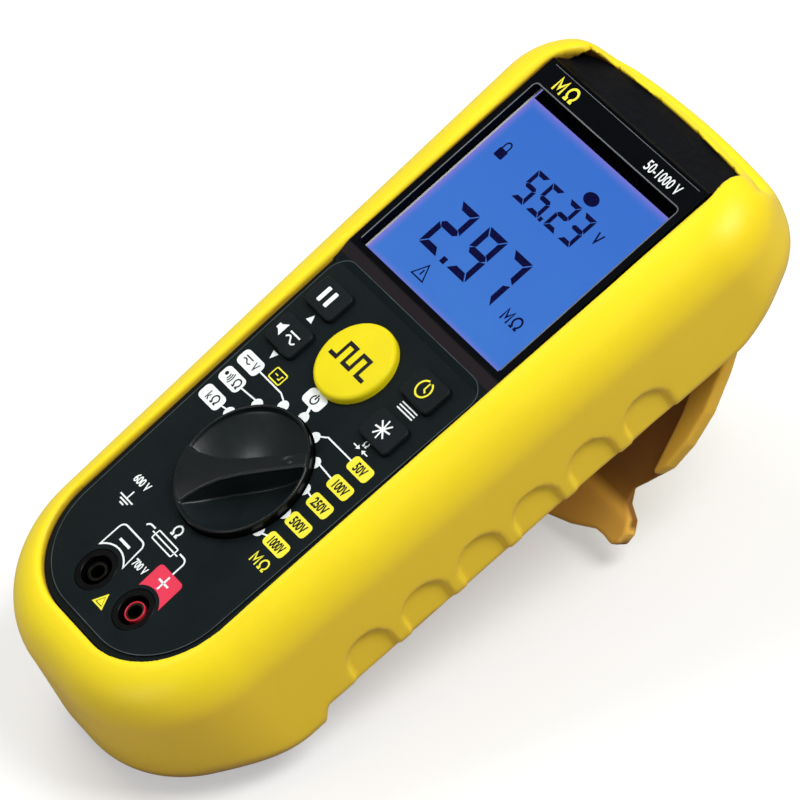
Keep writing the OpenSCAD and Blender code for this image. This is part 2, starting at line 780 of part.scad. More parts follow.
holster();
tilt_stand();
stand_pin();
front_case();
rear_case();
case_gasket();
case_screws();
display_bezel();
display_lens();
lcd_frame();
lcd_panel();
lcd_backlight();
lcd_connectors();
test_button();
hold_key();
range_key();
timer_key();
backlight_key();
keypad_mat();
tact_switches();
range_knob();
knob_screw();
switch_rotor();
rotor_wipers();
detent_spring();
com_socket();
plus_socket();
com_socket_post();
plus_socket_post();
com_contact();
plus_contact();
circuit_board();
board_screws();
processor_chip();
hv_transformer();
transformer_coil();
hv_capacitors();
fuse();
fuse_clips();
buzzer();
range_relay();
battery_tray();
battery_cells();
battery_springs();
battery_studs();
battery_cover();
cover_screws();
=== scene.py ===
"""Looks of the insulation resistance tester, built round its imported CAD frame."""

import json
import math

import bmesh
import bpy
import numpy as np
from mathutils import Matrix, Vector


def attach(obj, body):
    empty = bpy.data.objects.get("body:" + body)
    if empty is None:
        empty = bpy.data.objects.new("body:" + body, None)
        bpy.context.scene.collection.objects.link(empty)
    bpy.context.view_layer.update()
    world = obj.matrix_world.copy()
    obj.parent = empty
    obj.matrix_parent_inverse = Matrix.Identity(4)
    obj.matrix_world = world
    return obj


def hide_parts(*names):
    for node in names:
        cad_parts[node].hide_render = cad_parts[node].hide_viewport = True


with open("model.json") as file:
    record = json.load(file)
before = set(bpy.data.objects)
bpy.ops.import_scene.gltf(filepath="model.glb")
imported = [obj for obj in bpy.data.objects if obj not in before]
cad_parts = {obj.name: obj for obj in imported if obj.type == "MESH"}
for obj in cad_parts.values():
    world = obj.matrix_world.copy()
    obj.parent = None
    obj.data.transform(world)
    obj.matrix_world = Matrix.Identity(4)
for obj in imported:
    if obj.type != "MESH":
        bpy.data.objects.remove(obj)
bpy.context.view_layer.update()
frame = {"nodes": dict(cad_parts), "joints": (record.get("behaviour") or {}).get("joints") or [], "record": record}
NODES = frame["nodes"]
SLOT_OF = {part["node"]: part["material_slot"] for part in frame["record"]["subparts"]}
JOINTS = {joint["name"]: joint for joint in frame["joints"]}

# ---------- the face frame ----------
# Millimetres: X to the user's right, Y towards the display end, Z out of the face.

KNOB_Y = -63.4
KEYPAD_TOP = -5.2
BEZEL_TOP = 1.4
HINGE = (0.0, 56.4, -36.6)
LEG_ANGLE = 31.5
MM = 0.001

out = Vector(JOINTS["knob_turn"]["axis"]).normalized()
across = Vector((1, 0, 0))
along = out.cross(across)
corner_of_face = Vector(JOINTS["knob_turn"]["pos_m"]) - along * KNOB_Y * MM
FACE = Matrix.Translation(corner_of_face) @ Matrix((across, along, out)).transposed().to_4x4()
FACE = FACE @ Matrix.Scale(MM, 4)
LEG = FACE @ Matrix.Translation(HINGE) @ Matrix.Rotation(math.radians(LEG_ANGLE), 4, "X")
SINE, COSINE = along.z, along.y
FACE_HEIGHT = corner_of_face.z / MM


def at_point(x, y, z=0.0):
    """The frame of something drawn about its own middle, at a place on the face."""
    return FACE @ Matrix.Translation((x, y, z))


# ---------- materials ----------

WHITE = (1.0, 1.0, 1.0, 1.0)


def colour(r, g, b):
    """Linear colour from the 0 to 255 values seen on a screen."""
    channels = [v / 255 for v in (r, g, b)]
    return tuple(v / 12.92 if v <= 0.04045 else ((v + 0.055) / 1.055) ** 2.4 for v in channels) + (1.0,)


def feed(tree, target, inputs):
    """Links or sets a node's inputs, by name or by number."""
    for key, value in inputs.items():
        if isinstance(value, bpy.types.NodeSocket):
            tree.links.new(value, target.inputs[key])
        else:
            target.inputs[key].default_value = value


def node(tree, kind, inputs=None, **settings):
    made = tree.nodes.new(kind)
    for key, value in settings.items():
        setattr(made, key, value)
    feed(tree, made, inputs or {})
    return made


def maths(tree, operation, *values, **settings):
    return node(tree, "ShaderNodeMath", dict(enumerate(values)), operation=operation, **settings).outputs[0]


def split(tree, vector):
    """The X, Y and Z of a vector."""
    return tuple(node(tree, "ShaderNodeSeparateXYZ", {"Vector": vector}).outputs)


def new_material(name):
    """A material with its node tree and main shader."""
    material = bpy.data.materials.new(name)
    material.use_nodes = True
    return material, material.node_tree, material.node_tree.nodes["Principled BSDF"]


def face_coordinates(tree):
    """Place on the object in the face frame, in millimetres."""
    place = node(tree, "ShaderNodeTexCoord").outputs["Object"]
    moved = node(tree, "ShaderNodeVectorMath", {0: place, 1: tuple(corner_of_face)}, operation="SUBTRACT")
    turned = node(tree, "ShaderNodeCombineXYZ")
    for index, direction in enumerate((across, along, out)):
        part = node(tree, "ShaderNodeVectorMath", {0: moved.outputs[0], 1: tuple(direction / MM)},
                    operation="DOT_PRODUCT")
        tree.links.new(part.outputs["Value"], turned.inputs[index])
    return turned.outputs[0]


def measure(tree, place, direction, offset=0.0):
    """Distance along a direction of the face frame, in millimetres."""
    dot = node(tree, "ShaderNodeVectorMath", {0: place, 1: tuple(direction)}, operation="DOT_PRODUCT")
    return maths(tree, "ADD", dot.outputs["Value"], offset)


def noise(tree, vector, scale, detail=2.0, rough=0.5):
    return node(tree, "ShaderNodeTexNoise", {"Vector": vector, "Scale": scale, "Detail": detail,
                                             "Roughness": rough}).outputs["Fac"]


def spread(tree, value, low, high, from_low=0.3, from_high=0.7):
    """Carries from_low to from_high over to low to high, and holds beyond them."""
    return node(tree, "ShaderNodeMapRange", {"Value": value, "From Min": from_low, "From Max": from_high,
                                             "To Min": low, "To Max": high}).outputs["Result"]


def mix_colours(tree, factor, first, second):
    return node(tree, "ShaderNodeMix", {0: factor, 6: first, 7: second}, data_type="RGBA",
                clamp_factor=True).outputs[2]


def mix_within(tree, value, near, full, first, second):
    """Turns first into second as value goes from near to full."""
    low, high = min(near, full), max(near, full)
    at_low, at_high = (0.0, 1.0) if full > near else (1.0, 0.0)
    return mix_colours(tree, spread(tree, value, at_low, at_high, low, high), first, second)


def moulded(name, light, dark, rough=(0.38, 0.5), mottle=0.05, grain=2.2, bump=0.12, metal=0.0, coat=0.0,
            scratches=0.0, tint=None, sheen=0.0, shine=0.3):
    """A moulded or machined surface: slow colour drift, fine grain in the bump and uneven gloss."""
    material, tree, shader = new_material(name)
    place = face_coordinates(tree)
    drift = spread(tree, noise(tree, place, mottle, 3.0), 0.0, 1.0)
    base = mix_colours(tree, drift, colour(*light), colour(*dark))
    # tint adds a finish's own colour changes, and on the holster, stand and knob painted shade
    if tint:
        base = tint(tree, place, base)
    gloss = noise(tree, place, mottle * 6, 4.0, 0.6)
    height = noise(tree, place, grain, 2.0, 0.55)
    if scratches:
        stretched = node(tree, "ShaderNodeMapping", {"Vector": place, "Scale": (0.15, 3.0, 3.0)}).outputs[0]
        height = maths(tree, "MULTIPLY_ADD", noise(tree, stretched, 1.4, 5.0, 0.7), scratches, height)
    raised = node(tree, "ShaderNodeBump", {"Height": height, "Strength": bump, "Distance": 0.0004})
    feed(tree, shader, {"Base Color": base, "Roughness": spread(tree, gloss, *rough),
                        "Normal": raised.outputs[0], "Metallic": metal, "Specular IOR Level": shine,
                        "Coat Weight": coat, "Sheen Weight": sheen})
    return material


def shaded_hollows(tree, reach, depth, low, high, base, dark):
    """Darkens base where the surface is closed in within reach metres."""
    open_share = node(tree, "ShaderNodeAmbientOcclusion", {"Distance": reach}, samples=8).outputs["AO"]
    return mix_colours(tree, spread(tree, open_share, depth, 0.0, low, high), base, colour(*dark))


def rubber_painted_shade(tree, place, base):
    """Painted shade: surfaces that look down take a deeper, more orange yellow, and hollows turn brown."""
    upward = split(tree, node(tree, "ShaderNodeNewGeometry").outputs["Normal"])[2]
    turned = mix_within(tree, upward, 0.7, -0.6, base, colour(245, 196, 60))
    return shaded_hollows(tree, 0.034, 0.95, 0.16, 0.66, turned, (122, 66, 14))


def stand_painted_shade(tree, place, base):
    """Painted shade: the leg keeps the browner yellow that the rubber shows in shade, a little lighter and more
    orange at the foot, dark brown in hollows and deepest in the tray; only its back takes the holster's true
    yellow.
    """
    sine, cosine = math.sin(math.radians(LEG_ANGLE)), math.cos(math.radians(LEG_ANGLE))
    width = maths(tree, "ABSOLUTE", split(tree, place)[0])
    length = measure(tree, place, (0, cosine, sine), -HINGE[1] * cosine - HINGE[2] * sine)
    height = measure(tree, place, (0, -sine, cosine), HINGE[1] * sine - HINGE[2] * cosine)
    foot = mix_within(tree, length, -45.0, -56.0, base, colour(248, 190, 80))
    shaded = shaded_hollows(tree, 0.03, 0.45, 0.1, 0.6, foot, (130, 74, 22))
    back = mix_within(tree, height, -3.4, -4.1, shaded, colour(242, 212, 40))
    # painted shade: the inside of the tray turns dark brown
    below_rim = spread(tree, height, 1.0, 0.0, -1.8, -0.3)
    above_floor = spread(tree, height, 0.0, 1.0, -3.6, -3.2)
    inside = spread(tree, width, 1.0, 0.0, 39.0, 39.6)
    tray = maths(tree, "MULTIPLY", maths(tree, "MULTIPLY", below_rim, above_floor), inside)
    return mix_colours(tree, tray, back, colour(146, 100, 38))


def case_tint(tree, place, base):
    """The keypad area is slate, and round the display the case is near black."""
    y = split(tree, place)[1]
    return mix_within(tree, y, KEYPAD_TOP - 0.4, KEYPAD_TOP + 0.2, base, colour(7, 9, 14))


def bezel_tint(tree, place, base):
    """The frame's foot is brown grey, then slate like the keypad; its walls down to the glass are black."""
    _, y, z = split(tree, place)
    wall = maths(tree, "MULTIPLY", spread(tree, z, 1.0, 0.0, 0.7, 1.1), spread(tree, y, 0.0, 1.0, -1.6, -1.2))
    dark = mix_colours(tree, wall, base, colour(0, 0, 0))
    foot = mix_within(tree, y, -1.7, -2.3, dark, colour(36, 32, 35))
    return mix_within(tree, y, KEYPAD_TOP, KEYPAD_TOP - 0.2, foot, colour(17, 25, 27))


def knob_painted_shade(tree, place, base):
    """Painted shade: the handle's crown is darker than the bowl, and the rim falls to black outside."""
    x, y, z = split(tree, place)
    reach = node(tree, "ShaderNodeCombineXYZ", {"X": x, "Y": maths(tree, "SUBTRACT", y, KNOB_Y)}).outputs[0]
    radius = node(tree, "ShaderNodeVectorMath", {0: reach}, operation="LENGTH").outputs["Value"]
    crowned = mix_colours(tree, spread(tree, z, 0.0, 0.75, 1.6, 2.8), base, colour(7, 11, 12))
    return mix_within(tree, radius, 19.1, 19.35, crowned, colour(3, 4, 5))


# light and dark colour, roughness range, then what differs from moulded's own settings
FINISHES = {
    # the holster's tint paints shade: more orange on surfaces that look down, brown in hollows
    "holster_rubber": ((250, 226, 20), (244, 218, 24), (0.36, 0.46),
                       {"mottle": 0.03, "grain": 1.6, "bump": 0.10, "tint": rubber_painted_shade, "sheen": 0.05}),
    # the stand's colours are the holster's yellow rubber painted in shade
    "stand_rubber": ((240, 190, 66), (230, 180, 62), (0.4, 0.5),
                     {"mottle": 0.03, "grain": 1.6, "bump": 0.10, "tint": stand_painted_shade, "sheen": 0.05,
                      "shine": 0.2}),
    "case_plastic": ((18, 26, 28), (13, 21, 23), (0.46, 0.6),
                     {"grain": 3.0, "bump": 0.30, "tint": case_tint, "shine": 0.09}),
    "bezel_plastic": ((3, 4, 7), (5, 7, 10), (0.28, 0.4), {"bump": 0.05, "tint": bezel_tint, "shine": 0.05}),
    "key_rubber": ((19, 25, 28), (14, 20, 22), (0.40, 0.55), {"grain": 4.0, "bump": 0.2, "shine": 0.14}),
    # the knob's tint paints shade on the handle's crown and on the skirt outside the rim
    "knob_plastic": ((23, 30, 32), (17, 24, 26), (0.28, 0.38),
                     {"grain": 3.0, "bump": 0.05, "tint": knob_painted_shade, "shine": 0.32}),
    "test_yellow": ((230, 214, 12), (222, 204, 16), (0.4, 0.5), {"grain": 3.0, "bump": 0.1, "shine": 0.18}),
    "white_plastic": ((226, 226, 219), (212, 211, 204), (0.38, 0.5), {}),
    "seal_rubber": ((48, 49, 51), (36, 37, 39), (0.6, 0.75), {}),
    "steel": ((190, 192, 195), (160, 163, 168), (0.2, 0.35), {"metal": 1.0, "scratches": 0.6}),
    "contact_brass": ((66, 58, 46), (46, 40, 32), (0.3, 0.45), {"metal": 1.0, "scratches": 0.4}),
    "socket_black": ((6, 7, 8), (4, 4, 5), (0.3, 0.45), {"bump": 0.06, "shine": 0.12}),
    "socket_red": ((214, 44, 62), (190, 30, 50), (0.25, 0.4), {"bump": 0.06}),
    "board_green": ((24, 92, 52), (16, 74, 42), (0.3, 0.45), {"coat": 0.4}),
    "chip_black": ((28, 28, 30), (20, 20, 22), (0.55, 0.7), {"grain": 5.0, "bump": 0.3}),
    "ferrite_grey": ((66, 62, 60), (50, 48, 47), (0.6, 0.8), {"grain": 4.0, "bump": 0.35}),
    "coil_copper": ((186, 104, 58), (158, 82, 42), (0.25, 0.4),
                    {"metal": 1.0, "scratches": 1.0, "bump": 0.5}),
    "sleeve_blue": ((30, 48, 120), (24, 38, 100), (0.2, 0.35), {}),
    "fuse_ceramic": ((226, 220, 202), (208, 200, 180), (0.25, 0.4), {}),
    "cell_jacket": ((214, 122, 36), (196, 104, 28), (0.2, 0.35), {"coat": 0.5}),
}
INK_FINISHES = {
    "white": ("ink_white", (238, 243, 243), (228, 234, 234), (0.5, 0.6), {"grain": 6.0, "bump": 0.05}),
    "yellow": ("ink_yellow", (240, 232, 60), (230, 220, 50), (0.5, 0.6), {"grain": 6.0, "bump": 0.05}),
    "black": ("ink_black", (12, 12, 14), (20, 20, 22), (0.5, 0.6), {"grain": 6.0, "bump": 0.05}),
    "red": ("ink_red", (224, 54, 82), (214, 46, 74), (0.5, 0.6), {"grain": 6.0, "bump": 0.05}),
    # painted highlight for the bead round the window and the line above the name strip
    "grey": ("trim_highlight_grey", (112, 116, 120), (88, 92, 96), (0.35, 0.5), {"grain": 6.0, "bump": 0.05}),
    "shade": ("window_shade", (3, 3, 6), (2, 2, 4), (0.6, 0.7), {"bump": 0.02, "shine": 0.0}),
    # painted highlight drawn along the edge of the case's face
    "edge": ("painted_edge_highlight", (74, 82, 86), (48, 56, 60), (0.35, 0.5),
             {"mottle": 0.12, "grain": 6.0, "bump": 0.05}),
    "segment": ("lcd_segment", (16, 15, 58), (12, 12, 50), (0.5, 0.6), {"bump": 0.02, "shine": 0.0}),
}


def display_material():
    """A lit liquid crystal: blue, paler at the foot and more violet by the light guide at its edges."""
    material, tree, shader = new_material("display_blue")
    place = face_coordinates(tree)
    x, y, _ = split(tree, place)
    side = spread(tree, maths(tree, "ABSOLUTE", x), 0.0, 1.0, 30.4, 33.4)
    top = spread(tree, y, 0.0, 1.0, 55.6, 58.8)
    foot = spread(tree, y, 1.0, 0.0, 0.0, 2.4)
    edge = maths(tree, "MAXIMUM", maths(tree, "MAXIMUM", side, top), foot)
    even = mix_within(tree, y, 0.0, 58.0, colour(68, 124, 210), colour(60, 114, 206))
    cloud = spread(tree, noise(tree, place, 0.05, 2.0), 0.0, 0.25)
    even = mix_colours(tree, cloud, even, colour(60, 106, 202))
    glow = mix_colours(tree, maths(tree, "POWER", edge, 2.0), even, colour(128, 122, 214))
    feed(tree, shader, {"Emission Color": glow, "Emission Strength": 1.0, "Base Color": colour(6, 8, 20),
                        "Roughness": 0.4, "Specular IOR Level": 0.0})
    return material


def lens_material():
    """A clear window whose outside has a faint reflection that grows towards grazing angles."""
    material, tree, shader = new_material("lens_glass")
    tree.nodes.remove(shader)
    wipe = spread(tree, noise(tree, face_coordinates(tree), 0.12, 4.0), 0.04, 0.12)
    clear = node(tree, "ShaderNodeBsdfTransparent", {"Color": (0.98, 0.99, 1.0, 1.0)})
    shine = node(tree, "ShaderNodeBsdfGlossy", {"Roughness": wipe, "Color": WHITE})
    facing = node(tree, "ShaderNodeLayerWeight", {"Blend": 0.1}).outputs["Fresnel"]
    inside = node(tree, "ShaderNodeNewGeometry").outputs["Backfacing"]
    share = maths(tree, "MULTIPLY", facing, maths(tree, "SUBTRACT", 0.25, inside, use_clamp=True))
    both = node(tree, "ShaderNodeMixShader", {0: share, 1: clear.outputs[0], 2: shine.outputs[0]})
    feed(tree, tree.nodes["Material Output"], {"Surface": both.outputs[0]})
    return material


MATERIALS = {name: moulded(name, light, dark, rough, **more)
             for name, (light, dark, rough, more) in FINISHES.items()}
MATERIALS["display_blue"] = display_material()
MATERIALS["lens_glass"] = lens_material()
INKS = {ink: moulded(name, light, dark, rough, **more)
        for ink, (name, light, dark, rough, more) in INK_FINISHES.items()}

# ---------- mesh building ----------


def piece(name, points, faces, material, body, angle=None, matrix=FACE):
    """A mesh object from points in a frame of its own, riding on a CAD body."""
    mesh = bpy.data.meshes.new(name)
    points = np.asarray(points, float)
    turn = np.array(matrix)
    points = points @ turn[:3, :3].T + turn[:3, 3]
    mesh.from_pydata(points.tolist(), [], [tuple(map(int, f)) for f in faces])
    mesh.validate()
    mesh.polygons.foreach_set("use_smooth", [angle is not None] * len(mesh.polygons))
    if angle is not None and angle < 180:
        mesh.set_sharp_from_angle(angle=math.radians(angle))
    mesh.materials.append(material)
    made = bpy.data.objects.new(name, mesh)
    bpy.context.scene.collection.objects.link(made)
    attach(made, body)
    return made


def soft_max(a, b, k):
    h = np.clip(k - np.abs(a - b), 0, None) / k
    return np.maximum(a, b) + h * h * k / 4


def soft_min(a, b, k):
    return -soft_max(-a, -b, k)


def rounded(a, b, r):
    """The meeting of two distances, with their corner rounded to radius r."""
    p, q = a + r, b + r
    return np.hypot(np.maximum(p, 0), np.maximum(q, 0)) + np.minimum(np.maximum(p, q), 0) - r


def ease(t):
    t = np.clip(t, 0, 1)
    return t * t * (3 - 2 * t)


def plate(x, y, half0, half1, y0, y1, r0, r1):
    """Distance to the outline of a plate that widens from half0 to half1, with corners r0 and r1."""
    x = np.abs(x)
    c0x, c0y, c1x, c1y = half0 - r0, y0 + r0, half1 - r1, y1 - r1
    run_x, run_y = c1x - c0x, c1y - c0y
    lean = np.arctan2(run_x, run_y) - np.arcsin((r0 - r1) / np.hypot(run_x, run_y))
    nx, ny = np.cos(lean), -np.sin(lean)
    ax, ay, bx, by = x - c0x, y - c0y, x - c1x, y - c1y
    d = np.maximum(ax * nx + ay * ny - r0, np.maximum(y0 - y, y - y1))
    d = np.where((ax > 0) & (ay * nx - ax * ny < 0), np.hypot(ax, ay) - r0, d)
    return np.where((bx > 0) & (by * nx - bx * ny > 0), np.hypot(bx, by) - r1, d)


def polygon_distance(points, x, y):
    """Signed distance to a closed polygon."""
    shape = np.broadcast(x, y).shape
    best, inside = np.full(shape, 1e9), np.zeros(shape, bool)
    for (x0, y0), (x1, y1) in zip(points, points[1:] + points[:1]):
        ex, ey = x1 - x0, y1 - y0
        t = np.clip(((x - x0) * ex + (y - y0) * ey) / (ex * ex + ey * ey), 0, 1)
        best = np.minimum(best, np.hypot(x - x0 - t * ex, y - y0 - t * ey))
        if abs(ey) > 1e-9:
            inside ^= ((y0 > y) != (y1 > y)) & (x < x0 + ex * (y - y0) / ey)
    return np.where(inside, -best, best)


CUBE = [(i, j, k) for i in (0, 1) for j in (0, 1) for k in (0, 1)]
EDGES = [(a, b) for a in range(8) for b in range(a + 1, 8)
         if sum(abs(p - q) for p, q in zip(CUBE[a], CUBE[b])) == 1]


def skin(distance, low, high, step):
    """The closed surface where distance is zero, as points and four-sided faces."""
    axes = [np.arange(a - step, b + 2 * step, step) for a, b in zip(low, high)]
    d = distance(*np.meshgrid(*axes, indexing="ij"))
    size = [n - 1 for n in d.shape]
    corners = [d[i:i + size[0], j:j + size[1], k:k + size[2]] for i, j, k in CUBE]
    signs = sum((c < 0).astype(np.int8) for c in corners)
    cells = np.argwhere((signs > 0) & (signs < 8))
    values = [c[tuple(cells.T)] for c in corners]
    total, count = np.zeros((len(cells), 3)), np.zeros(len(cells))
    for a, b in EDGES:
        crossing = (values[a] < 0) != (values[b] < 0)
        t = np.where(crossing, values[a] / np.where(crossing, values[a] - values[b], 1), 0)
        start, end = np.array(CUBE[a], float), np.array(CUBE[b], float)
        total += np.where(crossing[:, None], start + t[:, None] * (end - start), 0)
        count += crossing
    points = (cells + total / count[:, None]) * step + np.array([a[0] for a in axes])
    for _ in range(2):
        points = settle(distance, points, step)
    number = np.full(size, -1)
    number[tuple(cells.T)] = np.arange(len(cells))
    faces = []
    for axis in range(3):
        u, v = (axis + 1) % 3, (axis + 2) % 3
        first = [slice(1, n) for n in size]
        first[axis] = slice(0, size[axis])
        after = list(first)
        after[axis] = slice(1, size[axis] + 1)
        here, there = d[tuple(first)] < 0, d[tuple(after)] < 0
        for flip, where in ((False, here & ~there), (True, ~here & there)):
            at = np.argwhere(where)
            for other in (u, v):
                at[:, other] += 1
            ring = []
            for du, dv in ((-1, -1), (0, -1), (0, 0), (-1, 0)):
                spot = at.copy()
                spot[:, u] += du
                spot[:, v] += dv
                ring.append(number[tuple(spot.T)])
            ring = np.stack(ring, 1)
            faces.append(ring[:, ::-1] if flip else ring)
    return points, np.concatenate(faces)


def settle(distance, points, step):
    """Moves points onto the zero of distance, along its slope."""
    h = step * 0.1
    here = distance(*points.T)
    slope = np.stack([(distance(*(points + h * e).T) - distance(*(points - h * e).T)) / (2 * h)
                      for e in np.eye(3)], 1)
    length = np.maximum((slope ** 2).sum(1), 0.25)
    move = np.clip(here / length, -0.4 * step, 0.4 * step)
    return points - slope * move[:, None]


def above_ground(y, z):
    """Distance above the ground that the tester stands on."""
    return y * SINE + z * COSINE + FACE_HEIGHT


# ---------- holster ----------

LIP_Z = 2.0
BACK_Z = -35.0
HEEL_Z = -42.1
TOP_Y = 84.5
SCALLOPS = 6
SCALLOP_TOP = 22.3
SCALLOP_PITCH = 18.5
SCALLOP_R = 7.0
SCALLOP_RISE = 5.9
PIN_R = 3.4


def back_at(y):
    """The back slopes away from the face towards the socket end."""
    return BACK_Z - 2.6 * np.clip((54 - y) / 141, -0.2, 1)


def bow(x):
    """The display end bulges a little in the middle."""
    return 2.0 * np.clip(1 - (x / 36) ** 2, 0, 1)


def side_at(y):
    """The sides draw in towards the socket end."""
    return 45.6 + 6.6 * (y + 98) / 159


def holster_distance(x, y, z):
    x = np.abs(x)
    # outer shape: the sides, a rounded front and a floor with a heel
    down = np.clip((-12.5 - z) / 18.6, 0, 1)
    r0 = 37.1 + 3.2 * down
    bulge = bow(x) * ease((y - 60) / 18)
    plan = plate(x, y - bulge, 45.6, 52.2, -98.1 + down - r0, TOP_Y, r0, 23.0)
    front = rounded(plan, z - LIP_Z, 14.5)
    heel = HEEL_Z + 0.0475 * np.maximum(y + 95.6, 0)
    floor = back_at(y) + (heel - back_at(y)) * ease((-86.5 - y) / 4)
    edge_r = 3 + 11 * ease((y - 50) / 22) + 8 * ease((-95 - y) / 25)
    body = np.maximum(front, rounded(plan, floor - z, edge_r))
    # the face shows through an opening whose edge is a rounded lip
    opening = np.maximum(plate(x, y - bulge, 35.0, 37.2, -121.4, 78.3, 26.0, 11.5), -5 - z)
    body = soft_max(body, -opening, 1.3)
    # between the two ears the display end drops to a low rounded strip
    between = np.maximum(rounded(x - 34.0, -7 - z, 7.0), 40 - y)
    body = soft_max(body, -between, 3.0)
    outer = np.maximum(rounded(x - 38.0, -15 - z, 9.0), TOP_Y + bulge - 3.0 - y)
    body = soft_max(body, -outer, 4.5)
    # finger scallops along the lower edge of each side
    side = side_at(y)
    for i in range(SCALLOPS):
        middle = SCALLOP_TOP - SCALLOP_PITCH * i
        centre = back_at(middle) + SCALLOP_RISE
        dy, dz = y - middle, z - centre
        shape = np.where(dz > 0, np.hypot(dy, dz), np.abs(dy)) - SCALLOP_R
        scallop = np.maximum(shape, side - 1.55 + 0.03 * np.maximum(-dy, 0) - x)
        body = soft_max(body, -scallop, 0.8)
    # shallow panel in the back
    panel = np.maximum(rounded(x - 31, np.abs(y + 18) - 58, 8.0), z - back_at(y) - 1.0)
    body = soft_max(body, -panel, 0.8)
    # hinge: room for the leg's barrels between the holster's own lugs
    round_pin = np.hypot(y - HINGE[1], z - HINGE[2])
    room = np.maximum(round_pin - 3.8, np.minimum(np.abs(x - 36.35) - 5.35, x - 13))
    body = soft_max(body, -room, 0.6)
    lug = np.minimum(round_pin - PIN_R, np.maximum(np.abs(y - HINGE[1]) - PIN_R, np.abs(z + 34.6) - 2))
    body = soft_min(body, soft_max(lug, np.abs(x - 22) - 9, 0.8), 0.8)
    # the case sits in the hollow
    hollow = np.maximum(plate(x, y - bulge, 39.7, 43.2, -127.2, 79.2, 30.2, 14.2),
                        np.maximum(z + 3.3, -29.6 - z))
    body = np.maximum(body, -hollow)
    return np.maximum(body, -above_ground(y, z))


def make_holster():
    step = 1.0
    points, faces = skin(holster_distance, (-53, -138, -43), (53, 87, 3), step)
    made = piece("holster_shell", points, faces, MATERIALS["holster_rubber"], "tester", 180)
    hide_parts("holster")


# ---------- tilt stand ----------

LEG_T = 4.2
LEG_HALF = [(40.7, 0), (43.8, -13), (45.2, -24.7), (44.2, -35), (41.6, -43.5), (35.6, -51.5), (32.4, -55.5),
            (33.8, -59.2), (38.2, -61.6), (39.7, -65.2), (38.8, -68.6), (36, -70.5), (32.6, -70.0),
            (29, -70.2), (20, -74.2), (7, -78)]
TRAY_HALF = [(34.4, -5.5), (36.4, -17), (38.2, -30), (38.4, -47), (46, -49.5), (46, -72), (30, -84)]


def mirrored(half):
    return half + [(-x, y) for x, y in reversed(half)]


def leg_distance(x, y, z):
    """The leg in its own frame, with the hinge pin at the origin and the foot towards -y."""
    outline = polygon_distance(mirrored(LEG_HALF), x, y) - 0.15
    body = rounded(rounded(outline, z, 0.9), -LEG_T - z, 1.3)
    tray = polygon_distance(mirrored(TRAY_HALF), x, y)
    # the tray's floor rises and runs out towards the foot
    floor = -3 + 3.4 * ease((-54.5 - y) / 10)
    tray = np.maximum(tray - 0.35 * z, floor - z)
    body = soft_max(body, -tray, 0.7)
    x = np.abs(x)
    lug_room = np.maximum(np.abs(x - 22) - 9.2, np.abs(y - 2.9) - 7.1)
    body = soft_max(body, -lug_room, 0.5)
    barrels = np.minimum(np.abs(x - 35.95) - 4.75, x - 12.8)
    barrel = np.minimum(np.hypot(y, z) - PIN_R, np.maximum(np.abs(y + 1.7) - 1.7, np.abs(z + 2.1) - 2.1))
    body = soft_min(body, soft_max(barrel, barrels, 0.6), 0.8)
    # the foot ends flat on the ground
    turn = math.radians(LEG_ANGLE)
    face_y = HINGE[1] + y * math.cos(turn) - z * math.sin(turn)
    face_z = HINGE[2] + y * math.sin(turn) + z * math.cos(turn)
    return np.maximum(body, -above_ground(face_y, face_z))


def make_leg():
    step = 0.65
    points, faces = skin(leg_distance, (-46, -79, -5), (46, 4, 4), step)
    made = piece("stand_leg", points, faces, MATERIALS["stand_rubber"], "stand", 180,
                 matrix=LEG)
    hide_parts("tilt_stand")


# ---------- knob, keys and test button ----------

KNOB_R = 19.4
KNOB_TOP = 2.6
KNOB_FOOT = -7.4
WELL_R = KNOB_R + 0.45
HANDLE_HALF = [(18.9, 2.2), (8, 2.35), (1, 2.6), (-5, 3.3), (-10, 4.9), (-14.5, 7.2), (-19.0, 10.4)]


def knob_distance(u, v, z):
    """A skirted bowl with a bar handle along u, and an oval groove near the handle's tip."""
    radius = np.hypot(u, v)
    skirt = rounded(rounded(radius - KNOB_R, z - KNOB_TOP, 0.7), KNOB_FOOT - z, 0.3)
    dish = np.sqrt((u - 2) ** 2 + v ** 2 + (z - 26) ** 2) - 31.4
    dish = soft_max(dish, radius - 18.5, 0.5)
    bowl = soft_max(skirt, -dish, 0.5)
    outline = polygon_distance(HANDLE_HALF + [(x, -y) for x, y in reversed(HANDLE_HALF)], u, v)
    mark = np.hypot((u - 14) / 1.5, v / 0.95)
    crown = KNOB_TOP + 0.6 - 0.012 * v ** 2 - 0.28 * np.exp(-((mark - 1) / 0.28) ** 2)
    bar = rounded(outline, z - crown, 0.5)
    bar = np.maximum(np.maximum(bar, radius - 18.9), KNOB_FOOT - z)
    return soft_min(bowl, bar, 0.6)


def make_knob():
    step = 0.35
    points, faces = skin(knob_distance, (-20, -20, -8), (20, 20, 3), step)
    frame_here = at_point(0, KNOB_Y) @ Matrix.Rotation(math.radians(45), 4, "Z")
    made = piece("knob_cap", points, faces, MATERIALS["knob_plastic"], "knob", 180,
                 matrix=frame_here)
    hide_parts("range_knob")


KEYS = {"hold_key": (-25.2, -16.6), "range_key": (-24.8, -30.6), "timer_key": (21.4, -16.3),
        "backlight_key": (22.3, -31)}
KEY_TOP = 1.9
BUTTON = (-1.9, -23.6)
BUTTON_TOP = 2.8
BUTTON_DOME = 0.0035


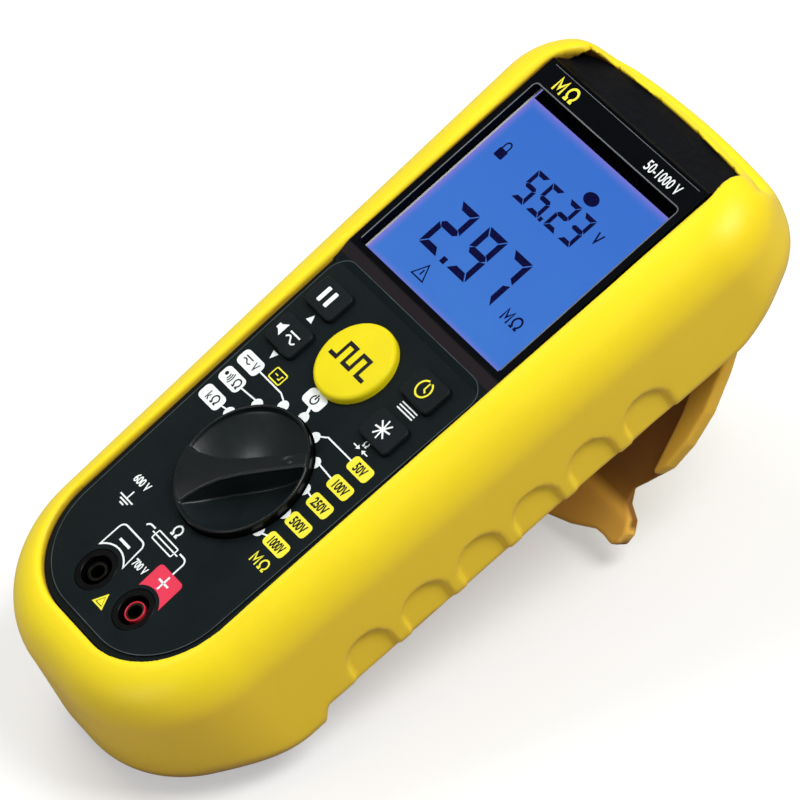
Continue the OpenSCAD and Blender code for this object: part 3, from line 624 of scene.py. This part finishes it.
def key_distance(x, y, z):
    outline = rounded(np.abs(x) - 6.5, np.abs(y) - 4.7, 1.8)
    top = KEY_TOP - 0.006 * x ** 2 - 0.008 * y ** 2
    cap = np.maximum(rounded(outline, z - top, 0.55), -2.3 - z)
    flange = np.maximum(rounded(np.abs(x) - 7.3, np.abs(y) - 5.5, 2.4), np.abs(z + 2.7) - 0.4)
    return np.minimum(cap, flange)


def button_distance(x, y, z):
    radius = np.hypot(x, y)
    top = BUTTON_TOP - BUTTON_DOME * radius ** 2
    cap = np.maximum(rounded(radius - 11.8, z - top, 1.1), -2.3 - z)
    flange = np.maximum(radius - 12.8, np.abs(z + 2.7) - 0.4)
    return np.minimum(cap, flange)


def make_keys():
    points, faces = skin(key_distance, (-7.4, -5.6, -3.2), (7.4, 5.6, 2), 0.35)
    for name, (x, y) in KEYS.items():
        made = piece(name + "_cap", points, faces, MATERIALS["key_rubber"], name, 180,
                     matrix=at_point(x, y))
        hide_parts(name)
    points, faces = skin(button_distance, (-12.9, -12.9, -3.2), (12.9, 12.9, 3.4), 0.4)
    made = piece("test_button_cap", points, faces, MATERIALS["test_yellow"], "test_button",
                 180, matrix=at_point(*BUTTON))
    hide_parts("test_button")


# ---------- CAD shapes with broken edges ----------

SHARP = math.radians(35)


def softened(name, node_name, body, width, bowed=False):
    """A copy of a CAD node with its sharp edges broken by a small bevel."""
    source = NODES[node_name]
    shape = bmesh.new()
    shape.from_mesh(source.data)
    bmesh.ops.remove_doubles(shape, verts=shape.verts, dist=1e-6)
    bmesh.ops.dissolve_limit(shape, angle_limit=math.radians(1.0), verts=shape.verts, edges=shape.edges)
    if bowed:
        # the display end follows the bow of the holster's opening
        back = FACE.inverted()
        for cut in range(-36, 37, 6):
            bmesh.ops.bisect_plane(shape, geom=shape.verts[:] + shape.edges[:] + shape.faces[:],
                                   plane_co=FACE @ Vector((cut, 0, 0)), plane_no=across)
        for vert in shape.verts:
            x, y, _ = back @ vert.co
            vert.co += along * (float(bow(x)) * float(ease((y - 70.4) / 8)) * MM)
    mesh = bpy.data.meshes.new(name)
    shape.to_mesh(mesh)
    shape.free()
    mesh.polygons.foreach_set("use_smooth", [True] * len(mesh.polygons))
    mesh.set_sharp_from_angle(angle=SHARP)
    slot = SLOT_OF[node_name]
    mesh.materials.clear()
    mesh.materials.append(MATERIALS[slot])
    made = bpy.data.objects.new(name, mesh)
    bpy.context.scene.collection.objects.link(made)
    bevel = made.modifiers.new("edges", "BEVEL")
    bevel.width = width * MM
    bevel.segments = 2
    bevel.limit_method = "ANGLE"
    bevel.angle_limit = SHARP
    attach(made, body)
    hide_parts(node_name)


# ---------- printed marks ----------

INK = 0.05
PRINT_Z = 0.01
OVER_Z = PRINT_Z + INK
LEAD = 0.45
SOCKET_X = 9.525
SOCKET_Y = -107.9


def prism(points, z):
    """A flat shape INK thick, standing on height z."""
    n = len(points)
    verts = [(x, y, z) for x, y in points] + [(x, y, z + INK) for x, y in points]
    area = sum(x0 * y1 - x1 * y0 for (x0, y0), (x1, y1) in zip(points, points[1:] + points[:1]))
    ring = list(range(n)) if area > 0 else list(range(n - 1, -1, -1))
    faces = [tuple(reversed(ring)), tuple(i + n for i in ring)]
    faces += [(a, b, b + n, a + n) for a, b in zip(ring, ring[1:] + ring[:1])]
    return verts, faces


def stroke(points, width, z, closed=False):
    """A line of even width through points."""
    p = np.array(points, float)
    step = np.roll(p, -1, 0) - p
    if not closed:
        step[-1] = step[-2]
    step /= np.hypot(*step.T)[:, None]
    before = np.roll(step, 1, 0)
    if not closed:
        before[0] = step[0]
    normal = np.stack([-(step + before)[:, 1], (step + before)[:, 0]], 1)
    normal /= np.maximum((normal * np.stack([-step[:, 1], step[:, 0]], 1)).sum(1), 0.35)[:, None]
    left, right = p + normal * width / 2, p - normal * width / 2
    n = len(p)
    rows = [np.column_stack([side, np.full(n, height)]) for height in (z, z + INK) for side in (left, right)]
    verts = np.concatenate(rows)
    faces = []
    for i in range(n if closed else n - 1):
        j = (i + 1) % n
        low_left, low_right, top_left, top_right = (k * n for k in range(4))
        faces += [(top_left + i, top_right + i, top_right + j, top_left + j),
                  (low_left + i, low_left + j, low_right + j, low_right + i),
                  (low_left + i, top_left + i, top_left + j, low_left + j),
                  (low_right + i, low_right + j, top_right + j, top_right + i)]
    if not closed:
        faces += [(0, n, 3 * n, 2 * n), (n - 1, 3 * n - 1, 4 * n - 1, 2 * n - 1)]
    return verts.tolist(), faces


def arc(x, y, r, start, end, steps=14):
    return [(x + r * math.cos(math.radians(start + (end - start) * i / steps)),
             y + r * math.sin(math.radians(start + (end - start) * i / steps))) for i in range(steps + 1)]


def pill(x, y, w, h, r, steps=5):
    points = []
    for cx, cy, start in ((1, 1, 0), (-1, 1, 90), (-1, -1, 180), (1, -1, 270)):
        points += arc(x + cx * (w / 2 - r), y + cy * (h / 2 - r), r, start, start + 90, steps)
    return points


def letters(text, x, y, z, height, squeeze=0.85, bold=0.0):
    """Figures and unit letters as a flat mesh, centred on x, y."""
    curve = bpy.data.curves.new("letters", "FONT")
    curve.body = text
    curve.size = height / 0.72
    curve.extrude = INK / 2
    curve.offset = bold
    curve.resolution_u = 3
    curve.align_x = "CENTER"
    made = bpy.data.objects.new("letters", curve)
    bpy.context.scene.collection.objects.link(made)
    bpy.context.view_layer.update()
    flat = made.evaluated_get(bpy.context.evaluated_depsgraph_get())
    mesh = bpy.data.meshes.new_from_object(flat)
    verts = [(v.co.x * squeeze + x, v.co.y + y - height / 2, v.co.z + z + INK / 2) for v in mesh.vertices]
    faces = [tuple(f.vertices) for f in mesh.polygons]
    bpy.data.objects.remove(made)
    bpy.data.curves.remove(curve)
    bpy.data.meshes.remove(mesh)
    return verts, faces


def ohm(x, y, z, h, width):
    """The resistance symbol, drawn as one line."""
    r = h * 0.42
    points = [(x - r * 1.05, y - h / 2 + width / 2), (x - r * 0.42, y - h / 2 + width / 2)]
    points += arc(x, y + h * 0.08, r, 245, -65, 18)
    points += [(x + r * 0.42, y - h / 2 + width / 2), (x + r * 1.05, y - h / 2 + width / 2)]
    return stroke(points, width, z)


def mega(x, y, z, h, width):
    """The letter M, drawn as one line."""
    w, t = h * 0.36, h / 2
    points = [(x - w, y - t), (x - w, y + t), (x, y - t * 0.35), (x + w, y + t), (x + w, y - t)]
    return stroke(points, width, z)


class Print:
    """Marks of one ink that become one piece."""

    def __init__(self, name, ink, body, matrix=FACE, slot=None, dome=0.0):
        self.name, self.ink, self.body = name, ink, body
        self.matrix, self.slot, self.dome = matrix, slot, dome
        self.verts, self.faces = [], []

    def add(self, shape):
        verts, faces = shape
        base = len(self.verts)
        self.verts += [(x, y, z - self.dome * (x * x + y * y)) for x, y, z in verts]
        self.faces += [tuple(i + base for i in f) for f in faces]

    def fill(self, points, z):
        self.add(prism(points, z))

    def line(self, points, width, z, closed=False):
        self.add(stroke(points, width, z + 0.02, closed))

    def done(self):
        return piece(self.name, self.verts, self.faces, INKS[self.ink], self.body,
                     matrix=self.matrix)


def disc(x, y, r):
    return arc(x, y, r, 0, 342, 19)


def wave(x, y, length, height):
    """One full swing of a sine, starting at x, y."""
    return [(x + length * t / 12, y + height * math.sin(t / 12 * 2 * math.pi)) for t in range(13)]


def pointer_dots(white):
    """A dot by each setting, cut off by the knob's well; gives where the lead lines start."""
    spots = {}
    for turn in np.arange(-22.5, 158, 22.5):
        direction = np.array([math.cos(math.radians(turn)), math.sin(math.radians(turn))])
        centre = direction * (KNOB_R + 0.9) + (-0.8, 0.1)
        dot = []
        for x, y in disc(centre[0], centre[1], 1.75):
            reach = max(1.0, (WELL_R + 0.1) / math.hypot(x, y))
            dot.append((x * reach, y * reach + KNOB_Y))
        white.fill(dot, PRINT_Z)
        spots[turn] = (centre[0] + direction[0] * 0.8, centre[1] + direction[1] * 0.8 + KNOB_Y)
    return spots


def range_labels(white, yellow, black, spots):
    """White labels for the plain ranges, yellow ones for the insulation test voltages."""
    for turn, y, bend in ((112.5, -42.5, [(-12.5, -42.5)]), (135.0, -48.9, []), (157.5, -55.8, [])):
        white.fill(pill(-27.7, y, 9.2, 4.7, 1.5), PRINT_Z)
        white.line([(-23.5, y)] + bend + [spots[turn]], LEAD, PRINT_Z)
    white.fill(pill(-2.8, -37.6, 7.9, 4.7, 1.5), PRINT_Z)
    white.line([(-2.0, -39.5), spots[90.0]], 1.0, PRINT_Z)
    for label, turn, y, bend in (("50V", 67.5, -42.0, [(10.2, -42.0)]), ("100V", 45.0, -48.8, []),
                                 ("250V", 22.5, -55.7, []), ("500V", 0.0, -62.9, []),
                                 ("1000V", -22.5, -70.4, [])):
        yellow.fill(pill(25.7, y, 9.0, 4.4, 1.3), PRINT_Z)
        squeeze = 0.74 if len(label) < 5 else 0.63
        black.add(letters(label, 25.7, y, OVER_Z, 2.7, squeeze, 0.11))
        white.line([spots[turn]] + bend + [(21.4, y)], LEAD, PRINT_Z)


def label_symbols(black):
    """Voltage, sound and resistance, resistance in thousands, and the power sign."""
    black.add(letters("V", -25.4, -42.5, OVER_Z, 2.7, 0.8, 0.03))
    black.line([(-30.6, -41.7), (-27.4, -41.7)], 0.35, OVER_Z)
    black.line(wave(-30.6, -42.9, 3.2, 0.45), 0.35, OVER_Z)
    black.fill(disc(-30.6, -48.7, 0.6), OVER_Z)
    for r in (1.5, 2.2, 2.9):
        black.line(arc(-30.6, -48.9, r, -32, 32, 6), 0.32, OVER_Z)
    black.add(ohm(-25.3, -48.9, OVER_Z, 2.7, 0.42))
    black.add(letters("k", -29.0, -55.8, OVER_Z, 2.7, 0.8, 0.03))
    black.add(ohm(-26.2, -55.8, OVER_Z, 2.7, 0.42))
    black.line(arc(-2.8, -37.7, 1.25, 115, 425, 18), 0.42, OVER_Z)
    black.line([(-2.8, -37.6), (-2.8, -35.9)], 0.42, OVER_Z)


def yellow_signs(yellow):
    """The unit of the test voltages' readings, a pulse sign and a plain triangle."""
    yellow.add(mega(24.4, -76.4, PRINT_Z, 3.2, 0.5))
    yellow.add(ohm(28.1, -76.4, PRINT_Z, 3.2, 0.5))
    yellow.line(pill(-17.6, -40.0, 5.0, 3.4, 0.5, 3), 0.4, PRINT_Z, closed=True)
    yellow.line([(-19.0, -39.9), (-17.7, -39.9)], 0.35, PRINT_Z)
    yellow.line([(-17.2, -40.6), (-16.4, -40.6), (-16.4, -39.4), (-15.9, -39.4)], 0.35, PRINT_Z)
    yellow.line([(-2.0, -113.7), (2.0, -113.7), (0.0, -110.2)], 0.55, PRINT_Z, closed=True)
    yellow.fill([(-1.2, -113.2), (1.2, -113.2), (0.0, -111.1)], PRINT_Z)


def key_signs(white):
    """Arrows by the left keys, a menu under the timer key and a zero under the backlight key."""
    white.fill([(-26.3, -24.4), (-23.7, -24.4), (-25.0, -22.1)], PRINT_Z)
    white.fill([(-25.6, -36.0), (-23.2, -36.0), (-24.4, -38.3)], PRINT_Z)
    for i in range(3):
        white.line([(17.9, -22.1 - 0.95 * i), (24.9, -22.1 - 0.95 * i)], 0.4, PRINT_Z)
    middle, y = 20.7, -38.4
    white.add(ohm(middle, -36.4, PRINT_Z, 1.9, 0.35))
    for side in (-1, 1):
        white.line([(middle + side * 3.2, y), (middle + side * 0.8, y)], 0.35, PRINT_Z)
        white.fill([(middle + side * 1.6, y + 0.7), (middle + side * 1.6, y - 0.7),
                    (middle + side * 0.4, y)], PRINT_Z)


def voltage_limits(white):
    """The highest voltage to earth, with the earth sign, and the highest between the sockets."""
    white.add(letters("600 V", -21.5, -84.0, PRINT_Z, 2.5, 0.78, 0.09))
    white.line([(-21.0, -87.2), (-21.0, -89.6)], LEAD, PRINT_Z)
    for width, y in ((3.0, -89.8), (1.9, -90.7), (0.9, -91.6)):
        white.line([(-21.0 - width, y), (-21.0 + width, y)], LEAD, PRINT_Z)
    white.add(letters("700 V", 0.0, -99.2, PRINT_Z, 2.3, 0.75, 0.09))


def socket_labels(white, red):
    """A white outline with minus, a red arch with plus, and the line that joins them."""
    tag = arc(-SOCKET_X, SOCKET_Y, 7.9, 42, 138, 12)
    shoulders = arc(-6.0, -96.2, 1.8, 0, 90, 4) + arc(-13.6, -96.2, 1.8, 90, 180, 4)
    white.line([tag[0], (-4.2, -96.8)] + shoulders + [tag[-1]] + tag[-2:0:-1], 0.5, PRINT_Z, closed=True)
    white.line([(-12.0, -98.0), (-7.2, -98.0)], 0.8, PRINT_Z)
    # known fault: the arc repeats the point before it, which spoils this line's upright part
    white.line([(-9.6, -94.4), (-9.6, -91.3)] + arc(-8.0, -91.3, 1.6, 180, 90, 4) + [(-6.3, -89.7)],
               0.5, PRINT_Z)
    white.line([(6.0, -89.7)] + arc(8.0, -91.3, 1.6, 90, 0, 4) + [(9.6, -94.6)], 0.5, PRINT_Z)
    white.line(pill(-0.2, -90.6, 9.4, 2.7, 0.3, 2), 0.4, PRINT_Z, closed=True)
    white.line([(-6.3, -90.6), (6.0, -90.6)], 0.4, PRINT_Z)
    white.add(ohm(-0.4, -86.2, PRINT_Z, 3.3, 0.55))
    arch = arc(SOCKET_X, SOCKET_Y, 7.4, 36, 134, 12)
    shoulders = arc(13.9, -95.8, 1.3, 0, 90, 3) + arc(5.4, -95.8, 1.3, 90, 180, 3)
    red.fill([arch[0], (15.2, -96.0)] + shoulders + [arch[-1]] + arch[-2:0:-1], PRINT_Z)
    white.line([(7.6, -97.8), (12.0, -97.8)], 0.6, OVER_Z)
    white.line([(9.8, -95.6), (9.8, -100.0)], 0.6, OVER_Z)


def face_edge_highlight():
    """A painted highlight: the fine bright line where the case's face turns down, rising with the frame's slope.
    """
    edge = Print("face_edge_highlight", "edge", "tester", slot="case_plastic")
    right = [(18.0, KEYPAD_TOP)] + arc(28.4, -11.2, 6.0, 90, 0, 8) + arc(9.0, -95.4, 23.5, 0, -90, 16)
    edge.line(right + [(-x, y) for x, y in reversed(right)], 0.22, PRINT_Z, closed=True)
    slope_foot, slope = -7.5, 0.2507
    edge.verts = [(x, y, z + max(0, (y - slope_foot) * slope)) for x, y, z in edge.verts]
    edge.done()


def printed_face():
    white = Print("print_white", "white", "tester")
    yellow = Print("print_yellow", "yellow", "tester")
    black = Print("print_black", "black", "tester")
    red = Print("print_red", "red", "tester")
    spots = pointer_dots(white)
    range_labels(white, yellow, black, spots)
    label_symbols(black)
    yellow_signs(yellow)
    key_signs(white)
    voltage_limits(white)
    socket_labels(white, red)
    for ink in (white, yellow, black, red):
        ink.done()
    face_edge_highlight()


def key_top(name):
    return at_point(*KEYS[name], KEY_TOP - 0.02)


def printed_keys():
    z = 0.02
    hold = Print("icon_hold", "white", "hold_key", key_top("hold_key"))
    for x in (-1.6, 1.6):
        hold.fill(pill(x, 0, 1.5, 4.8, 0.3, 2), z)
    hold.done()
    sound = Print("icon_range", "white", "range_key", key_top("range_key"))
    sound.fill([(-4.7, -0.8), (-3.8, -0.8), (-1.9, -2.0), (-1.9, 2.0), (-3.8, 0.8), (-4.7, 0.8)], z)
    sound.line([(0.0, 1.1), (4.4, 1.1)], 0.5, z)
    sound.line(wave(0.0, -0.7, 4.4, 0.8), 0.5, z)
    sound.done()
    timer = Print("icon_timer", "yellow", "timer_key", key_top("timer_key"))
    timer.line(arc(0, 0, 2.5, 100, 430, 22), 0.55, z)
    timer.line([(0.2, 2.1), (0.2, 0.0), (1.2, -0.7)], 0.5, z)
    timer.done()
    light = Print("icon_light", "white", "backlight_key", key_top("backlight_key"))
    for i in range(8):
        a = math.radians(i * 45 + 8)
        light.line([(0.7 * math.cos(a), 0.7 * math.sin(a)), (2.9 * math.cos(a), 2.9 * math.sin(a))], 0.5, z)
    light.fill(disc(0, 0, 0.8), z)
    light.done()
    # a square pulse on the test button
    pulse = Print("icon_pulse", "black", "test_button", at_point(*BUTTON, BUTTON_TOP), dome=BUTTON_DOME)
    pulse.line([(-8.0, -2.5), (-4.8, -2.5), (-4.8, 2.6), (-1.6, 2.6), (-1.6, -2.5), (1.6, -2.5), (1.6, 2.6),
                (4.8, 2.6), (4.8, -2.5), (8.0, -2.5)], 1.15, z)
    pulse.done()


# ---------- display ----------

LCD_PRINT_Z = -2.36
SEGMENTS = {"0": "abcdef", "1": "bc", "2": "abged", "3": "abgcd", "4": "fgbc", "5": "afgcd",
            "6": "afgedc", "7": "abc", "8": "abcdefg", "9": "abfgcd"}


def digit(figure, x, y, w, h, t, ink, z):
    """A seven-segment figure with its lower left corner at x, y."""
    gap, half = t * 0.13, h / 2
    bars = {
        "a": [(gap, h), (w - gap, h), (w - t - gap, h - t), (t + gap, h - t)],
        "d": [(gap, 0), (t + gap, t), (w - t - gap, t), (w - gap, 0)],
        "g": [(gap * 2, half), (t * 0.8, half + t / 2), (w - t * 0.8, half + t / 2), (w - gap * 2, half),
              (w - t * 0.8, half - t / 2), (t * 0.8, half - t / 2)],
        "f": [(0, h - gap), (t, h - t - gap), (t, half + t / 2 + gap), (0, half + gap)],
        "b": [(w, h - gap), (w, half + gap), (w - t, half + t / 2 + gap), (w - t, h - t - gap)],
        "e": [(0, gap), (0, half - gap), (t, half - t / 2 - gap), (t, t + gap)],
        "c": [(w, gap), (w - t, t + gap), (w - t, half - t / 2 - gap), (w, half - gap)],
    }
    for bar in SEGMENTS[figure]:
        ink.fill([(x + px, y + py) for px, py in bars[bar]], z)


def segments():
    """Everything the liquid crystal shows."""
    z = LCD_PRINT_Z
    marks = Print("lcd_segments", "segment", "tester", at_point(-1.8, 0.6), "display_blue")
    for figure, x in zip("297", (-21.0, -7.6, 4.2)):
        digit(figure, x, 10.2, 8.6, 15.5, 2.05, marks, z)
    marks.fill([(-10.7, 10.0), (-8.8, 10.0), (-8.8, 11.9), (-10.7, 11.9)], z)
    for figure, x in zip("5523", (-11.0, -4.2, 4.0, 10.9)):
        digit(figure, x, 35.2, 5.3, 9.9, 1.35, marks, z)
    marks.fill([(1.5, 35.1), (2.8, 35.1), (2.8, 36.4), (1.5, 36.4)], z)
    marks.add(letters("V", 20.6, 42.0, z, 3.6, 0.85, 0.08))
    marks.fill([(8.9 + 2.9 * math.cos(a), 48.4 + 1.9 * math.sin(a))
                for a in np.linspace(0, 2 * math.pi, 25)[:-1]], z)
    # closed padlock
    marks.fill(pill(-24.6, 41.4, 3.5, 2.8, 0.4, 2), z)
    marks.line([(-25.7, 42.6)] + arc(-24.6, 44.0, 1.1, 180, 0, 8) + [(-23.5, 42.6)], 0.5, z)
    # plain triangle and the unit of the large figures
    marks.line([(-14.2, 3.0), (-9.0, 3.0), (-11.6, 7.4)], 0.4, z, closed=True)
    marks.line([(-11.6, 4.0), (-11.6, 5.7)], 0.5, z)
    marks.add(mega(19.6, 11.8, z, 3.6, 0.6))
    marks.add(ohm(23.8, 11.8, z, 3.6, 0.6))
    marks.done()


def window_frame_marks():
    # raised bead round the window, and the fine line above the name strip, drawn as painted highlights in light
    # grey
    trim = Print("window_trim_highlight", "grey", "tester", slot="bezel_plastic")
    hoop = [(33.5, 0.6)] + arc(32.1, 60.3, 1.4, 0, 90, 5) + arc(-32.1, 60.3, 1.4, 90, 180, 5) + [(-33.5, 0.6)]
    trim.line(hoop, 0.34, BEZEL_TOP - 0.02)
    trim.line([(-33.4, 68.5), (33.4, 68.5)], 0.16, BEZEL_TOP - 0.02)
    trim.done()
    # dark band between the picture and the name strip
    mask = Print("lcd_mask", "shade", "tester", slot="bezel_plastic")
    mask.fill([(-33.2, 58.7), (33.2, 58.7), (33.2, 61.95), (-33.2, 61.95)], LCD_PRINT_Z - 0.02)
    mask.done()
    strip = Print("name_strip_marks", "white", "tester", slot="bezel_plastic")
    strip.add(letters("50-1000 V", 21.5, 65.0, BEZEL_TOP, 3.2, 0.8, 0.04))
    strip.done()
    unit = Print("name_strip_unit", "yellow", "tester", slot="bezel_plastic")
    unit.add(mega(-26.4, 65.0, BEZEL_TOP, 4.2, 0.75))
    unit.add(ohm(-21.2, 65.0, BEZEL_TOP, 4.2, 0.75))
    unit.done()


# ---------- stage, light and camera ----------


def stage():
    """A pale floor just under the object, seen by the camera as a little brighter than it shines."""
    mesh = bpy.data.meshes.new("floor")
    reach, drop = 6.0, -0.0003
    corners = [(-reach, -reach, drop), (reach, -reach, drop), (reach, reach, drop), (-reach, reach, drop)]
    mesh.from_pydata(corners, [], [(0, 1, 2, 3)])
    floor = bpy.data.objects.new("floor", mesh)
    bpy.context.scene.collection.objects.link(floor)
    material, tree, shader = new_material("floor")
    place = node(tree, "ShaderNodeTexCoord").outputs["Object"]
    tone = spread(tree, noise(tree, place, 3.0, 3.0), 0.0, 1.0)
    base = mix_colours(tree, tone, colour(205, 205, 205), colour(200, 200, 201))
    seen = node(tree, "ShaderNodeLightPath").outputs["Is Camera Ray"]
    feed(tree, shader, {"Base Color": mix_colours(tree, seen, colour(150, 150, 152), base),
                        "Roughness": 0.9, "Specular IOR Level": 0.0, "Emission Color": WHITE,
                        "Emission Strength": maths(tree, "MULTIPLY", seen, 0.4)})
    mesh.materials.append(material)


def area_light(name, place, target, size, power, tint=(1, 1, 1), diffuse=True, glossy=True):
    data = bpy.data.lights.new(name, "AREA")
    data.shape = "RECTANGLE"
    data.size, data.size_y = size
    data.energy = power
    data.color = tint
    lamp = bpy.data.objects.new(name, data)
    lamp.location = place
    lamp.rotation_euler = (Vector(target) - Vector(place)).to_track_quat("-Z", "Y").to_euler()
    lamp.visible_diffuse, lamp.visible_glossy = diffuse, glossy
    bpy.context.scene.collection.objects.link(lamp)


def lights():
    middle = (0, 0.1, 0.05)
    area_light("key", (0.75, 0.75, 1.45), middle, (0.8, 0.8), 23.0, (1.0, 0.99, 0.97))
    area_light("left", (-0.9, 0.1, 1.3), middle, (0.9, 0.9), 12.5, glossy=False)
    area_light("front", (0.3, -1.3, 0.5), middle, (0.7, 0.5), 3.5)
    area_light("spark", (-0.4, -0.55, 1.4), (0, 0, 0.05), (0.22, 0.22), 3.5, diffuse=False)


def room():
    """The room lights the object softly, and is seen as plain white behind it."""
    world = bpy.data.worlds.new("studio")
    world.use_nodes = True
    tree = world.node_tree
    seen = node(tree, "ShaderNodeLightPath").outputs["Is Camera Ray"]
    soft, plain_white = 0.3, 1.0
    strength = maths(tree, "MULTIPLY_ADD", seen, plain_white - soft, soft)
    feed(tree, tree.nodes["Background"], {"Color": WHITE, "Strength": strength})
    bpy.context.scene.world = world
    bpy.context.scene.view_settings.view_transform = "Standard"


def camera():
    data = bpy.data.cameras.new("camera")
    data.sensor_width = 36.0
    data.lens = 290.0
    data.clip_start, data.clip_end = 0.05, 50.0
    made = bpy.data.objects.new("camera", data)
    made.location = (1.12143, -0.39017, 1.17426)
    made.rotation_euler = [math.radians(a) for a in (46.811, 9.445, 57.776)]
    bpy.context.scene.collection.objects.link(made)
    bpy.context.scene.camera = made


for cad_name, cad_object in NODES.items():
    cad_object.data.materials.clear()
    cad_object.data.materials.append(MATERIALS[SLOT_OF[cad_name]])

make_holster()
make_leg()
make_knob()
make_keys()
softened("case_front", "front_case", "tester", 0.25, bowed=True)
softened("window_frame", "display_bezel", "tester", 0.3)
softened("com_shell", "com_socket", "tester", 0.3)
softened("plus_shell", "plus_socket", "tester", 0.3)
softened("com_ring", "com_socket_post", "tester", 0.15)
softened("plus_ring", "plus_socket_post", "tester", 0.15)
printed_face()
printed_keys()
segments()
window_frame_marks()
stage()
lights()
room()
camera()
